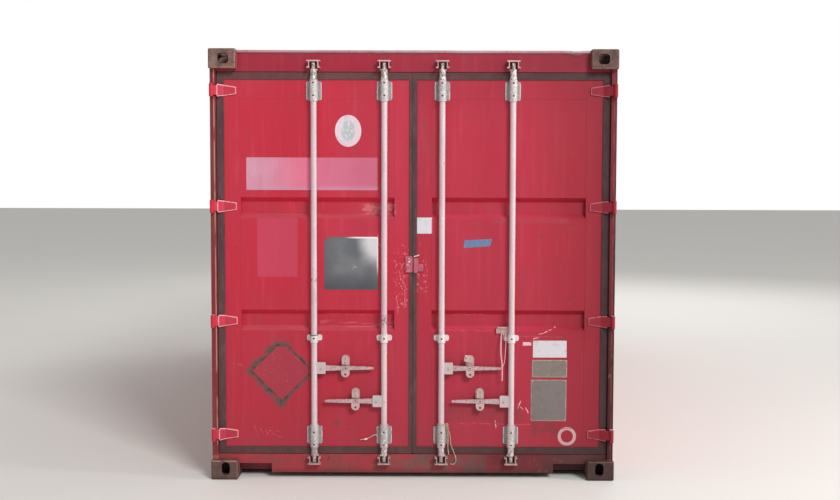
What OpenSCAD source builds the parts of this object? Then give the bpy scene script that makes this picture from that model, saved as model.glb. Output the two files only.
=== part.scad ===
// Twenty foot dry freight container with a pair of end doors, in millimetres.
// X runs across the doors, Y along the length with the doors at the low end, Z up.
// A depth is measured from the end face of the corner fittings towards the cargo.

/* [Overall] */
// Length over the corner fittings
ext_l = 6058; // [5400:1:6700]
// Width over the corner fittings
ext_w = 2438; // [2340:1:2540]
// Height over the corner fittings
ext_h = 2591; // [2500:1:2900]
// How far the posts, rails and walls lie inside the fittings' side and end faces
skin_in = 4; // [2:0.5:6]
// How far the roof rails lie below the fittings' top faces
roof_in = 8; // [6:0.5:12]
// How far the base frame lies above the fittings' bottom faces
base_up = 17; // [12:0.5:20]

/* [Corner fittings] */
// Length of a corner fitting along the container
fitting_l = 178; // [170:1:186]
// Width of a corner fitting across the container
fitting_w = 162; // [155:1:168]
// Height of a corner fitting
fitting_h = 118; // [114:1:124]
// Thickness of the wall with the locking slot
slot_wall = 28.5; // [26:0.5:31]
// Thickness of the outer end and side walls
face_wall = 15.5; // [12:0.5:17]
// Thickness of the closed inner walls
inner_wall = 10; // [6:0.5:12]
// Length of the locking slot along the container
slot_l = 124; // [118:0.5:128]
// Width of the locking slot
slot_w = 63.5; // [60:0.5:67]
// Distance from the side face to the slot's centre
slot_side = 89.5; // [86:0.5:93]
// Distance from the end face to the slot's centre
slot_end = 102.5; // [99:0.5:106]
// Long size of the lashing holes
lash_l = 79.5; // [74:0.5:82]
// Short size of the lashing holes
lash_w = 51; // [46:0.5:54]
// Width of the shield holes in the top fittings' end and the bottom fittings' side
shield_w = 66; // [60:1:70]
// Height of the shield holes
shield_h = 62; // [56:1:66]
// Rounding of a fitting's outer edges
outer_round = 14; // [8:1:15]
// Rounding of a fitting's other free edges
free_round = 7; // [4:1:8]

/* [Rear posts] */
// Depth of the post's front face
post_depth = 40; // [38:0.5:46]
// Width of the post across the container
post_w = 34; // [32:0.5:40]
// Thickness of the post's outer section
post_t = 6; // [4:0.5:8]
// Thickness of the post's inner section
post_inner_t = 12; // [8:0.5:14]
// Distance from the container's side to the door opening
opening_in = 49; // [46:1:56]

/* [Header and sill] */
// Depth of the header's and the sill's front faces
beam_depth = 58; // [54:0.5:60]
// Height from the fittings' top down to the header's underside
header_drop = 133; // [128:1:150]
// Plate thickness of the header
header_t = 4; // [3:0.5:5]
// Distance from the header's front face to its back face
header_l = 92; // [80:1:110]
// Height of the sill's front top edge
sill_top = 147; // [140:1:152]
// Height of the sill's lower edge
sill_low = 34; // [26:1:42]
// Plate thickness of the sill
sill_t = 4.5; // [3:0.5:6]
// How far the header's door stop covers the leaf's edge
stop_cover = 5; // [3:1:12]
// Width of the two notches in the sill
notch_w = 200; // [160:1:240]
// Height of the two notches in the sill
notch_h = 56; // [44:1:62]
// Depth of the two notches in the sill
notch_l = 75; // [50:1:90]

/* [Base frame] */
// Height of a bottom side rail
rail_h = 158; // [152:1:170]
// Plate thickness of a bottom side rail
rail_t = 4.5; // [3:0.5:6]
// Width of a bottom side rail's top flange
rail_top_w = 48; // [44:1:54]
// Width of a bottom side rail's bottom flange
rail_foot_w = 30; // [24:1:40]
// Height of the cross members
member_h = 122; // [112:1:126]
// Width of a cross member's flanges
member_w = 45; // [40:1:50]
// Plate thickness of the cross members
member_t = 4; // [3:0.5:5]
// Number of cross members
member_n = 18; // [14:1:20]
// Thickness of the floor boards
board_t = 28; // [24:1:32]
// Gap between the floor boards and the side rails' top flanges
board_side = 8.5; // [4:0.5:12]
// Gap between the floor boards and the front posts
board_end = 4; // [2:0.5:8]
// Joint between two floor boards
board_gap = 3; // [2:0.5:6]
// Number of floor boards along the container
board_n = 5; // [3:1:6]
// Distance between the centres of the two fork pockets
pocket_pitch = 2050; // [1900:1:2150]
// Clear length of a fork pocket along the container
pocket_l = 360; // [330:1:370]
// Clear height of a fork pocket
pocket_h = 98; // [90:1:102]
// Plate thickness of a fork pocket
pocket_t = 6; // [4:0.5:8]
// Length of the strap under each mouth of a fork pocket
strap_l = 200; // [150:1:260]

/* [Walls and roof] */
// Thickness of the wall sheets
sheet_t = 2; // [1.6:0.2:3]
// Depth of the side wall's folds
side_fold = 36; // [28:1:36]
// Length of one side wall fold along the container
side_pitch = 278; // [260:1:300]
// Length of a side wall's outer and inner flats
side_flat = 70; // [60:1:80]
// Depth of the front wall's folds
front_fold = 43; // [30:1:45]
// Width of one front wall fold
front_pitch = 250; // [240:1:256]
// Width of a front wall's outer and inner flats
front_flat = 107; // [90:1:110]
// Width and height of the roof rails
roof_rail = 60; // [56:1:64]
// Tube wall of the roof rails
roof_rail_t = 3; // [2:0.5:5]
// Depth of the roof's troughs
trough_h = 20; // [12:1:24]
// Distance between the roof's troughs
trough_pitch = 209; // [190:1:230]
// Length of a trough's rim along the container
trough_l = 120; // [90:1:140]
// Slope of a trough's walls, run along the container
trough_run = 25; // [18:1:30]
// Width of the troughs across the container
trough_w = 2160; // [1900:1:2200]
// How far the roof sheet laps over the header and the front rail's plate
roof_lap = 26; // [16:1:30]
// Width of a wall vent
vent_w = 62; // [50:1:66]
// Height of a wall vent
vent_h = 160; // [120:1:200]
// Depth of a wall vent's hood
vent_l = 26; // [20:1:30]
// Distance from the roof rail down to a wall vent
vent_drop = 90; // [60:1:200]
// Number of folds between the vents and the ends of the side walls
vent_fold = 1; // [0:1:4]
// Height of the front bottom rail
front_rail_h = 158; // [152:1:170]
// Distance from the front post's chamfer to its faces
front_chamfer = 66; // [50:1:76]

/* [Door leaves] */
// Depth of the door leaves' outer faces
leaf_depth = 65; // [63:0.5:68]
// Thickness of a door leaf
leaf_t = 50; // [46:1:52]
// Gap between a leaf and the posts, header and sill
leaf_gap = 5; // [4:0.5:8]
// Gap between the two leaves
middle_gap = 10; // [9:0.5:14]
// Width of a leaf's upright tube where the leaves meet
stile_w = 103; // [90:1:110]
// Width of a leaf's upright tube at the hinges
outer_stile_w = 134; // [120:1:145]
// Height of a leaf's top and bottom tubes
cross_rail_h = 150; // [130:1:160]
// Tube wall of a leaf's frame
leaf_tube_t = 3.2; // [2.5:0.1:4]
// Depth of the two folds across a leaf's panel
fold_depth = 36; // [24:1:40]
// Height of a fold's flat floor
fold_floor = 72; // [60:1:84]
// Height of a fold's slope
fold_slope = 27; // [22:1:34]
// Height of the lower fold's centre
low_fold_z = 966; // [900:1:1040]
// Height of the upper fold's centre
high_fold_z = 1646; // [1580:1:1720]
// Thickness of the gasket where it wraps the leaf's edge
gasket_t = 4; // [3:0.5:5]
// Thickness of the gasket's outer lip
lip_t = 6; // [4:0.5:7]
// Width of the gasket's lip at the post, header and sill
lip_w = 41; // [36:1:48]
// Width of the gasket's lip where the leaves meet
middle_lip_w = 18; // [14:1:24]

/* [Hinges] */
// Depth of the hinge pins
pin_depth = 13; // [12.5:0.5:14]
// Distance from the post's outer face to the hinge pins
pin_side = 12; // [11:0.5:13]
// Radius of the hinge pins
pin_r = 7; // [5:0.5:8]
// Radius of the knuckles and lugs round the pins
knuckle_r = 12; // [10:0.5:12]
// Running gap between a pin or rivet and its hole
pin_fit = 0.4; // [0.2:0.1:0.6]
// Gap between a knuckle and its lugs
lug_gap = 0.5; // [0.3:0.1:1]
// Thickness of a hinge lug
lug_t = 10; // [8:0.5:14]
// Height of a hinge blade at its knuckle
blade_h = 55; // [50:1:64]
// Height of a hinge blade's shoulder beside the lugs
shoulder_h = 75; // [68:1:86]
// Distance from the pin to where the shoulder starts
shoulder_in = 30; // [29:1:34]
// Height of a hinge blade at its free end
blade_end_h = 43; // [36:1:52]
// Thickness of a hinge blade
blade_t = 8; // [6:0.5:9]
// Length of a hinge blade from the pin
blade_l = 142; // [130:1:160]
// Angle of the blade's arm from the pin to the leaf
blade_angle = 36; // [34:0.5:38]
// Height of the lowest hinge
low_hinge_z = 271; // [250:1:300]
// Distance from the container's top to the highest hinge
hinge_drop = 245; // [230:1:270]
// Number of hinges on a leaf
hinge_n = 4; // [3:1:5]

/* [Lock rods] */
// Depth of the lock rods
rod_depth = 30; // [28:0.5:32]
// Radius of the lock rods
rod_r = 18; // [15:0.5:19]
// Running gap between a rod and its brackets
rod_fit = 0.5; // [0.3:0.1:0.8]
// Distance from the container's middle to the inner rods
inner_rod_x = 173; // [165:1:185]
// Distance from the container's middle to the outer rods
outer_rod_x = 595; // [580:1:610]
// Radius of the cams and their necks
cam_r = 18.5; // [18:0.5:21]
// Reach of a cam's claw
claw_l = 26; // [22:1:30]
// Thickness of a cam's claw
claw_t = 8; // [7:0.5:11]
// Width of a cam's claw
claw_w = 29; // [24:1:34]
// Rounding of a claw's tip
claw_round = 5; // [3:0.5:8]
// Radius of the cam's nose
nose_r = 11; // [9:0.5:15]
// Height of the cam's nose above its claw
nose_h = 38; // [30:1:42]
// Height of the cam's neck beside the leaf
neck_h = 38; // [30:1:42]
// Height of the upper cam's claw above the header's underside
top_claw_up = 5; // [3:1:12]
// Height of the lower cam's claw above the sill's top edge
low_claw_up = 6; // [2:1:8]
// Gap between a cam and its keeper
cam_gap = 6; // [5:0.5:8]
// Thickness of a keeper's plate and ears
keeper_t = 8; // [7:0.5:11]
// Thickness of a keeper's cheeks
keeper_cheek = 5; // [4:0.5:6]
// Width of a keeper's plate and of the keeper over its ears
keeper_w = 78; // [72:1:90]
// Depth of a keeper's free edge
keeper_depth = 6; // [4:0.5:8]

/* [Rod brackets] */
// Width of a bracket's foot
foot_w = 92; // [84:1:104]
// Thickness of a bracket's foot
foot_t = 6; // [4:0.5:8]
// Width of the block that joins a bracket's barrel and foot
barrel_w = 44; // [41:1:50]
// Thickness of a bracket's barrel round its rod
barrel_t = 5; // [4:0.5:6]
// Rounding of a bracket's foot
foot_round = 12; // [6:1:14]
// Radius of the bolt holes in a bracket's barrel
bolt_r = 5; // [3:0.5:6]
// Distance from the container's top to the upper brackets' top
high_bracket_drop = 183; // [180:1:200]
// Height of an upper bracket's barrel
high_barrel_h = 127; // [118:1:140]
// Height of an upper bracket's foot
high_foot_h = 113; // [100:1:118]
// Height of the middle brackets' centre
mid_bracket_z = 861; // [800:1:880]
// Height of a middle bracket's barrel
mid_barrel_h = 51; // [44:1:64]
// Height of a middle bracket's foot
mid_foot_h = 36; // [30:1:44]
// Height of the lower brackets' top
low_bracket_z = 335; // [328:1:345]
// Height of a lower bracket's barrel
low_barrel_h = 138; // [120:1:140]
// Height of a lower bracket's foot
low_foot_h = 110; // [96:1:118]
// Distance from a tall bracket's end beside the cam to its first bolt hole
bolt_in = 18; // [12:1:40]
// Distance between a tall bracket's two bolt holes
bolt_pitch = 76; // [60:1:90]

/* [Handles] */
// Height of the handles on the left outer and right inner rods
high_handle_z = 680; // [640:1:700]
// Height of the handles on the other two rods
low_handle_z = 479; // [440:1:520]
// Distance from a rod's axis to its handle's pivot
pivot_x = 45; // [42:1:50]
// Length of a handle hub from the rod's axis
hub_l = 69; // [64:1:76]
// Height of a handle hub
hub_h = 69; // [60:1:80]
// Thickness of a hub's cheeks
cheek_t = 6; // [4:0.5:7]
// Thickness of a handle
handle_t = 10; // [8:0.5:12]
// Gap between a handle and its hub's cheeks
handle_fit = 0.3; // [0.2:0.1:0.5]
// Radius of a handle's round end at the pivot
handle_r = 18; // [15:0.5:20]
// Length of a handle from its pivot
handle_l = 315; // [280:1:340]
// Radius of the pivot pins and of the catch rivets
pivot_r = 6; // [4:0.5:7]
// Half height of a handle at its retainer
grip_r = 12; // [10:0.5:14]
// Length of a handle's even part before its retainer's middle
grip_in = 20; // [14:1:26]
// Length of a handle's even part after its retainer's middle
grip_out = 40; // [30:1:60]
// Radius of a handle's rounded tip
tip_r = 7.5; // [6:0.5:9]
// Radius of the hole in a seal eye
eye_hole_r = 5; // [3:0.5:6]
// Distance from an outer rod's axis to its handle's retainer
outer_retainer_x = 188; // [180:1:200]
// Distance from an inner rod's axis to its handle's retainer
inner_retainer_x = 173; // [168:1:185]
// Width of a retainer
retainer_w = 50; // [44:1:54]
// Height of a retainer above the handle's middle line
retainer_up = 76; // [70:1:84]
// Height of a retainer below the handle's middle line
retainer_down = 55; // [50:1:64]
// Gap between a resting handle and its ledge
ledge_gap = 0.3; // [0.2:0.1:0.6]
// Depth of the ledge's free edge
ledge_depth = 18; // [15:0.5:22]
// Thickness of a catch
catch_t = 5; // [4:0.5:6]
// Depth of a catch's front face
catch_depth = 14; // [12:0.5:15]
// Width of a catch
catch_w = 40; // [34:1:46]
// Turn of the right inner rod's catch, which stands open
open_turn = 100; // [80:1:110]

/* [Hidden] */
$fn = 48;
eps = 0.01;

// Outer planes of the steelwork
side_x = ext_w / 2 - skin_in;
rear_y = -ext_l / 2;
front_y = ext_l / 2 - skin_in;
roof_z = ext_h - roof_in;
bay_l = ext_l - 2 * fitting_l;
bay_w = ext_w - 2 * fitting_w;
opening_x = ext_w / 2 - opening_in;

// Base levels
member_top = base_up + member_h;
floor_z = member_top + board_t;
rail_top = base_up + rail_h;
stop_depth = leaf_depth + leaf_t + leaf_gap;

// Door leaf outline, gasket included
leaf_in = middle_gap / 2;
leaf_out = side_x - post_w - leaf_gap;
leaf_low = sill_top + leaf_gap;
header_z = ext_h - header_drop;
leaf_high = header_z - leaf_gap;
frame_in = leaf_in + gasket_t;
frame_out = leaf_out - gasket_t;
panel_in = frame_in + stile_w;
panel_out = frame_out - outer_stile_w;
frame_low = leaf_low + gasket_t;
frame_high = leaf_high - gasket_t;

// Hinges
pin_x = side_x - pin_side;
hinge_step = (ext_h - hinge_drop - low_hinge_z) / (hinge_n - 1);
hinge_heights = [for (i = [0 : hinge_n - 1]) low_hinge_z + i * hinge_step];
lug_h = blade_h + 2 * lug_gap + 2 * lug_t;

// Cams and keepers
top_claw_z = header_z + top_claw_up;
low_claw_z = sill_top + low_claw_up;
keeper_in = cam_r + cam_gap;

// Each rod as its place, the side its handle points to, its handle's height and retainer distance
left_outer = [-outer_rod_x, 1, high_handle_z, outer_retainer_x];
left_inner = [-inner_rod_x, -1, low_handle_z, inner_retainer_x];
right_inner = [inner_rod_x, 1, high_handle_z, inner_retainer_x];
right_outer = [outer_rod_x, -1, low_handle_z, outer_retainer_x];

// Brackets
high_bracket_z = ext_h - high_bracket_drop;

// The rope's two ends from below its knot, each as places to the right of the rod, deep and high
rope_r = 3.5;
knot_r = 9;
knot_up = [30, 43, 338.5];
knot_low = [34, 49, 322.5];
long_end = [
    [39, 50, 313], [43, 52, 297], [49, 53, 281], [54, 54, 265], [56, 54, 248], [56, 54, 231],
    [58, 54, 214], [62, 54, 198], [68, 54, 183], [74, 54, 168], [80, 54, 152], [86, 54, 136],
    [90, 54, 120], [89, 53, 104], [81, 53, 91], [68, 53, 86], [56, 53, 92]
];
short_end = [
    [30, 49, 312.5], [34, 52, 297], [38, 54, 281], [40, 54, 264], [41, 54, 247], [41, 54, 230],
    [41, 54, 213], [41, 54, 196], [42, 54, 179], [44, 54, 162], [46, 54, 146]
];

// Colours
paint = [0.70, 0.20, 0.27];
rusty = [0.42, 0.33, 0.29];
galvanised = [0.74, 0.72, 0.71];
rubber = [0.28, 0.22, 0.21];
timber = [0.58, 0.42, 0.28];
hemp = [0.72, 0.64, 0.56];

// A profile drawn across Y and Z, carried along X
module along_x(from, to) {
    translate([from, 0, 0]) rotate([90, 0, 90]) linear_extrude(to - from) children();
}

// A profile drawn across X and Z, carried along Y
module along_y(from, to) {
    translate([0, to, 0]) rotate([90, 0, 0]) linear_extrude(to - from) children();
}

// A profile drawn across X and Y, carried along Z
module along_z(from, to) {
    translate([0, 0, from]) linear_extrude(to - from) children();
}

// A box between two corners
module block(low, high) {
    translate(low) cube(high - low);
}

// An upright or level hole with round ends
module oblong(length, width) {
    square([length - width, width], center = true);
    for (end = [-1, 1]) translate([end * (length - width) / 2, 0]) circle(d = width);
}

// A rectangle with round corners
module soft_square(width, height, radius) {
    square([width - 2 * radius, height], center = true);
    square([width, height - 2 * radius], center = true);
    for (x = [-1, 1], y = [-1, 1])
        translate([x * (width / 2 - radius), y * (height / 2 - radius)]) circle(radius);
}

// The same piece at both sides of the container
module both_sides() {
    children();
    mirror([1, 0, 0]) children();
}

// The same piece at all four corners, drawn inward from the rear left corner
module four_corners() {
    for (x = [0, 1], y = [0, 1])
        mirror([x, 0, 0]) mirror([0, y, 0]) translate([-ext_w / 2, rear_y, 0]) children();
}

// Corner fittings

// A rectangle from the origin, rounded at the origin and at the ends of its two sides there
module eased(width, height, radii) {
    places = [[0, 0], [width, 0], [0, height]];
    difference() {
        square([width, height]);
        for (i = [0 : 2]) translate(places[i]) mirror([i == 1 ? 1 : 0, 0])
            mirror([0, i == 2 ? 1 : 0]) difference() {
                translate([-1, -1]) square(radii[i] + 1);
                translate([radii[i], radii[i]]) circle(radii[i]);
            }
    }
}

module fitting_body() {
    difference() {
        intersection() {
            along_z(0, fitting_h)
                eased(fitting_w, fitting_l, [outer_round, free_round, free_round]);
            along_y(0, fitting_l)
                eased(fitting_w, fitting_h, [outer_round, free_round, free_round]);
            along_x(0, fitting_w)
                eased(fitting_l, fitting_h, [outer_round, free_round, free_round]);
        }
        block(
            [face_wall, face_wall, slot_wall],
            [fitting_w - inner_wall, fitting_l - inner_wall, fitting_h - inner_wall]
        );
        translate([slot_side, slot_end, 0]) rotate([0, 0, 90])
            along_z(-1, slot_wall + 1) oblong(slot_l, slot_w);
    }
}

module corner_fittings_bottom() {
    hole_z = slot_wall + lash_l / 2;
    color(rusty) four_corners() difference() {
        fitting_body();
        translate([slot_side, 0, hole_z]) along_y(-1, face_wall + 1)
            rotate([0, 0, 90]) oblong(lash_l, lash_w);
        translate([0, slot_end, slot_wall + shield_h / 2]) along_x(-1, face_wall + 1)
            soft_square(shield_w, shield_h, shield_h / 3);
    }
}

module corner_fittings_top() {
    color(rusty) translate([0, 0, ext_h]) mirror([0, 0, 1]) four_corners() difference() {
        fitting_body();
        translate([slot_side, 0, slot_wall + shield_h / 2]) along_y(-1, face_wall + 1)
            soft_square(shield_w, shield_h, shield_h / 3);
        translate([0, slot_end, slot_wall + lash_w / 2]) along_x(-1, face_wall + 1)
            oblong(lash_l, lash_w);
    }
}

// Posts

// A rear post's section, in X and depth
module rear_post_section() {
    outer = side_x;
    inner = side_x - post_w;
    stop_x = opening_x;
    translate([outer - post_t, post_depth]) square([post_t, fitting_l - post_depth]);
    translate([inner, post_depth]) square([post_w, post_t]);
    translate([inner, post_depth]) square([post_t, fitting_l - post_depth]);
    translate([inner, fitting_l - post_inner_t]) square([post_w, post_inner_t]);
    translate([stop_x, stop_depth]) square([inner + post_t - stop_x, post_inner_t]);
}

module rear_posts() {
    color(paint) both_sides() translate([0, rear_y, 0])
        along_z(fitting_h, ext_h - fitting_h) rear_post_section();
}

// A front post's closed section, in X and the depth from the front face
module front_post_outline(inset) {
    corner = inset * tan(22.5);
    outer = side_x - inset;
    inner = side_x - side_fold - sheet_t + inset;
    edge = ext_w / 2 - fitting_w + inset;
    face = skin_in + inset;
    back = skin_in + front_fold + sheet_t - inset;
    end = fitting_l - inset;
    polygon([
        [outer, end], [outer, face], [edge, face], [edge, back],
        [inner - front_chamfer + corner, back], [inner, back + front_chamfer - corner],
        [inner, end]
    ]);
}

module front_posts() {
    color(paint) both_sides() translate([0, ext_l / 2, 0]) mirror([0, 1, 0])
        along_z(fitting_h, ext_h - fitting_h) difference() {
            front_post_outline(0);
            front_post_outline(post_t);
        }
}

// Header, sill and front rails

// The header's closed outline, in depth and Z
module header_outline(inset) {
    face = beam_depth + inset;
    back = beam_depth + header_l - inset;
    stop = stop_depth + inset;
    polygon([
        [face, header_z + inset], [stop, header_z + inset],
        [stop, header_z - leaf_gap - stop_cover + inset],
        [back, header_z - leaf_gap - stop_cover + inset],
        [back, roof_z - inset], [face, roof_z - inset]
    ]);
}

module door_header() {
    color(paint) translate([0, rear_y, 0]) {
        along_x(-bay_w / 2, bay_w / 2) difference() {
            header_outline(0);
            header_outline(header_t);
        }
        both_sides() intersection() {
            along_x(bay_w / 2, opening_x) header_outline(0);
            block([0, 0, 0], [ext_w, fitting_l, ext_h - fitting_h]);
        }
        both_sides() block(
            [opening_x, beam_depth, header_z],
            [side_x - post_w, stop_depth, ext_h - fitting_h]
        );
        block(
            [-bay_w / 2, beam_depth + header_l - header_t, roof_z - header_t],
            [bay_w / 2, fitting_l, roof_z]
        );
    }
}

// The sill's closed outline, in depth and Z
module sill_outline(inset) {
    face = beam_depth + inset;
    back = fitting_l - inset;
    stop = stop_depth + inset;
    polygon([
        [face, sill_low + inset], [back, sill_low + inset], [back, floor_z - inset],
        [stop, floor_z - inset], [stop, sill_top - inset], [face, sill_top - inset]
    ]);
}

module door_sill() {
    notch_x = bay_w / 2 - notch_w;
    notch_z = sill_low + notch_h;
    notch_y = beam_depth + notch_l;
    color(paint) translate([0, rear_y, 0]) {
        difference() {
            along_x(-bay_w / 2, bay_w / 2) difference() {
                sill_outline(0);
                sill_outline(sill_t);
            }
            both_sides() block(
                [notch_x, beam_depth - 1, sill_low - 1],
                [bay_w / 2 + 1, notch_y, notch_z]
            );
        }
        both_sides() block(
            [notch_x, beam_depth + sill_t, notch_z],
            [bay_w / 2, notch_y + sill_t, notch_z + sill_t]
        );
        both_sides() block(
            [notch_x, notch_y, sill_low + sill_t],
            [bay_w / 2, notch_y + sill_t, notch_z]
        );
        both_sides() block(
            [notch_x - sill_t, beam_depth + sill_t, sill_low + sill_t],
            [notch_x, notch_y + sill_t, notch_z + sill_t]
        );
        both_sides() block(
            [bay_w / 2, stop_depth, fitting_h],
            [opening_x, fitting_l, floor_z]
        );
        both_sides() block(
            [bay_w / 2, beam_depth, fitting_h],
            [side_x - post_w, stop_depth, sill_top]
        );
    }
}

module front_top_rail() {
    inner = front_y - roof_rail;
    color(paint) {
        along_x(-bay_w / 2, bay_w / 2) difference() {
            translate([inner, roof_z - roof_rail]) square(roof_rail);
            translate([inner + roof_rail_t, roof_z - roof_rail + roof_rail_t])
                square(roof_rail - 2 * roof_rail_t);
        }
        block(
            [-bay_w / 2, ext_l / 2 - fitting_l, roof_z - header_t],
            [bay_w / 2, inner + roof_rail_t, roof_z]
        );
    }
}

module front_bottom_rail() {
    inner = front_y - roof_rail;
    color(paint) along_x(-bay_w / 2, bay_w / 2) difference() {
        translate([inner, base_up]) square([roof_rail, front_rail_h]);
        translate([inner + sill_t, base_up + sill_t])
            square([roof_rail - 2 * sill_t, front_rail_h - 2 * sill_t]);
    }
}

// Side rails

module roof_side_rails() {
    color(paint) both_sides() along_y(-bay_l / 2, bay_l / 2) difference() {
        translate([side_x - roof_rail, roof_z - roof_rail]) square(roof_rail);
        translate([side_x - roof_rail + roof_rail_t, roof_z - roof_rail + roof_rail_t])
            square(roof_rail - 2 * roof_rail_t);
    }
}

module bottom_side_rails() {
    pocket_half = pocket_l / 2 + pocket_t;
    color(paint) both_sides() difference() {
        along_y(-bay_l / 2, bay_l / 2) {
            translate([side_x - rail_t, base_up]) square([rail_t, rail_h]);
            translate([side_x - rail_top_w, rail_top - rail_t]) square([rail_top_w, rail_t]);
            translate([side_x - rail_foot_w, base_up]) square([rail_foot_w, rail_t]);
        }
        for (end = [-1, 1]) translate([0, end * pocket_pitch / 2, 0]) block(
            [side_x - rail_foot_w - 1, -pocket_half, base_up - 1],
            [side_x + 1, pocket_half, base_up + pocket_h + 2 * pocket_t]
        );
    }
}

// Walls and roof

// One edge of a folded sheet, moved in by the sheet's thickness at every bend
function fold_points(pitch, flat, fold, count, start, shift) =
    let (slope = pitch / 2 - flat, bend = shift * tan(atan(fold / slope) / 2))
    [for (i = [0 : count - 1], p = [
        [flat / 2 - bend, 0], [flat / 2 + slope - bend, fold],
        [pitch - flat / 2 - slope + bend, fold], [pitch - flat / 2 + bend, 0]
    ]) [start + i * pitch + p[0], p[1] + shift]];

// A folded sheet's section along the first axis, folding inward along the second
module folded_sheet(length, pitch, flat, fold) {
    count = floor((length - flat / 2) / pitch);
    start = -count * pitch / 2;
    outer = fold_points(pitch, flat, fold, count, start, 0);
    inner = fold_points(pitch, flat, fold, count, start, sheet_t);
    back = [for (i = [len(inner) - 1 : -1 : 0]) inner[i]];
    polygon(concat(
        [[-length / 2, sheet_t], [-length / 2, 0]], outer,
        [[length / 2, 0], [length / 2, sheet_t]], back
    ));
}

module side_wall() {
    color(paint) along_z(rail_top, roof_z - roof_rail) translate([side_x, 0]) rotate(90)
        folded_sheet(bay_l, side_pitch, side_flat, side_fold);
}

module left_side_wall() {
    mirror([1, 0, 0]) side_wall();
}

module right_side_wall() {
    side_wall();
}

module front_wall() {
    color(paint) along_z(base_up + front_rail_h, roof_z - roof_rail) translate([0, front_y])
        mirror([0, 1]) folded_sheet(bay_w, front_pitch, front_flat, front_fold);
}

// A roof trough's solid form, grown on its underside by the given amount
module trough_form(grow) {
    top = roof_z + sheet_t;
    low = roof_z + sheet_t - trough_h - grow;
    half_l = trough_l / 2 + grow;
    half_w = trough_w / 2 + grow;
    intersection() {
        along_x(-half_w, half_w) polygon([
            [-half_l, top], [half_l, top], [half_l - trough_run, low], [-half_l + trough_run, low]
        ]);
        along_y(-half_l, half_l) polygon([
            [-half_w, top], [half_w, top], [half_w - trough_run, low], [-half_w + trough_run, low]
        ]);
    }
}

module roof_panel() {
    count = floor((bay_l - trough_l) / trough_pitch);
    lap_y = bay_l / 2 + roof_lap;
    color(paint) difference() {
        union() {
            block([-side_x, -bay_l / 2, roof_z], [side_x, bay_l / 2, roof_z + sheet_t]);
            block([-bay_w / 2, -lap_y, roof_z], [bay_w / 2, lap_y, roof_z + sheet_t]);
            for (i = [0 : count]) translate([0, (i - count / 2) * trough_pitch, 0])
                trough_form(sheet_t);
        }
        for (i = [0 : count]) translate([0, (i - count / 2) * trough_pitch, eps])
            trough_form(0);
    }
}

// A vent's hood with its slots, standing on the floor of a wall's fold at the right side
module vent() {
    slot_n = 5;
    slot_pitch = vent_h / (slot_n + 1);
    base = side_x - side_fold;
    translate([base, 0, 0]) difference() {
        along_y(-vent_w / 2, vent_w / 2) polygon([
            [0, 0], [vent_l, 0], [vent_l, vent_h - vent_l], [0, vent_h]
        ]);
        along_y(-vent_w / 2 + sheet_t, vent_w / 2 - sheet_t) polygon([
            [-1, sheet_t], [vent_l - sheet_t, sheet_t],
            [vent_l - sheet_t, vent_h - vent_l - sheet_t], [-1, vent_h - 2 * sheet_t]
        ]);
        for (i = [1 : slot_n - 1]) translate([vent_l, 0, i * slot_pitch])
            cube([2 * sheet_t + 1, vent_w - 6 * sheet_t, slot_pitch / 3], center = true);
    }
}

module wall_vents() {
    count = floor((bay_l - side_flat / 2) / side_pitch);
    vent_y = (count / 2 - vent_fold - 1 / 2) * side_pitch;
    vent_z = roof_z - roof_rail - vent_drop - vent_h;
    color(paint) both_sides() for (end = [-1, 1]) translate([0, end * vent_y, vent_z]) vent();
}

// Floor and base frame

module floor_boards() {
    start = rear_y + fitting_l;
    end = front_y - roof_rail;
    step = (end - start + board_gap) / board_n;
    edge = side_x - rail_top_w - board_side;
    color(timber) both_sides() difference() {
        for (i = [0 : board_n - 1]) block(
            [board_gap / 2, start + i * step, member_top],
            [edge, start + (i + 1) * step - board_gap, floor_z]
        );
        translate([0, ext_l / 2, 0]) mirror([0, 1, 0]) along_z(member_top - 1, floor_z + 1)
            front_post_outline(-board_end);
    }
}

module cross_members() {
    half = side_x - rail_foot_w;
    start = -bay_l / 2 + member_w / 2;
    end = bay_l / 2 - 3 * member_w / 2;
    step = (end - start) / (member_n - 1);
    pocket_half = pocket_l / 2 + pocket_t;
    color(paint) for (i = [0 : member_n - 1]) {
        y = start + i * step;
        clear = abs(abs(y) - pocket_pitch / 2) > pocket_half + member_w;
        if (clear) along_x(-half, half) translate([y, base_up]) {
            square([member_t, member_h]);
            square([member_w, member_t]);
            translate([0, member_h - member_t]) square([member_w, member_t]);
        }
    }
}

module fork_pockets() {
    half = pocket_l / 2;
    roof = base_up + pocket_t + pocket_h;
    color(paint) for (end = [-1, 1]) translate([0, end * pocket_pitch / 2, 0]) {
        for (side = [-1, 1]) block(
            [-side_x, side > 0 ? half : -half - pocket_t, base_up],
            [side_x, side > 0 ? half + pocket_t : -half, roof + pocket_t]
        );
        for (side = [-1, 1]) block(
            [-side_x + rail_foot_w, side > 0 ? half : -half - pocket_t, base_up],
            [side_x - rail_foot_w, side > 0 ? half + pocket_t : -half, member_top]
        );
        block([-side_x, -half, roof], [side_x, half, roof + pocket_t]);
        both_sides() block(
            [side_x - strap_l, -half, base_up],
            [side_x, half, base_up + pocket_t]
        );
    }
}

// Door leaves, drawn at the right side

module right_side(mirrored) {
    mirror([mirrored ? 1 : 0, 0, 0]) translate([0, rear_y, 0]) children();
}

// A box tube of the leaf's depth, closed along its length
module leaf_tube(low, high, upright) {
    wall = leaf_tube_t;
    end = upright ? [wall, wall, -1] : [-1, wall, wall];
    difference() {
        block([low[0], leaf_depth, low[1]], [high[0], leaf_depth + leaf_t, high[1]]);
        block(
            [low[0], leaf_depth, low[1]] + end,
            [high[0], leaf_depth + leaf_t, high[1]] - end
        );
    }
}

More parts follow.
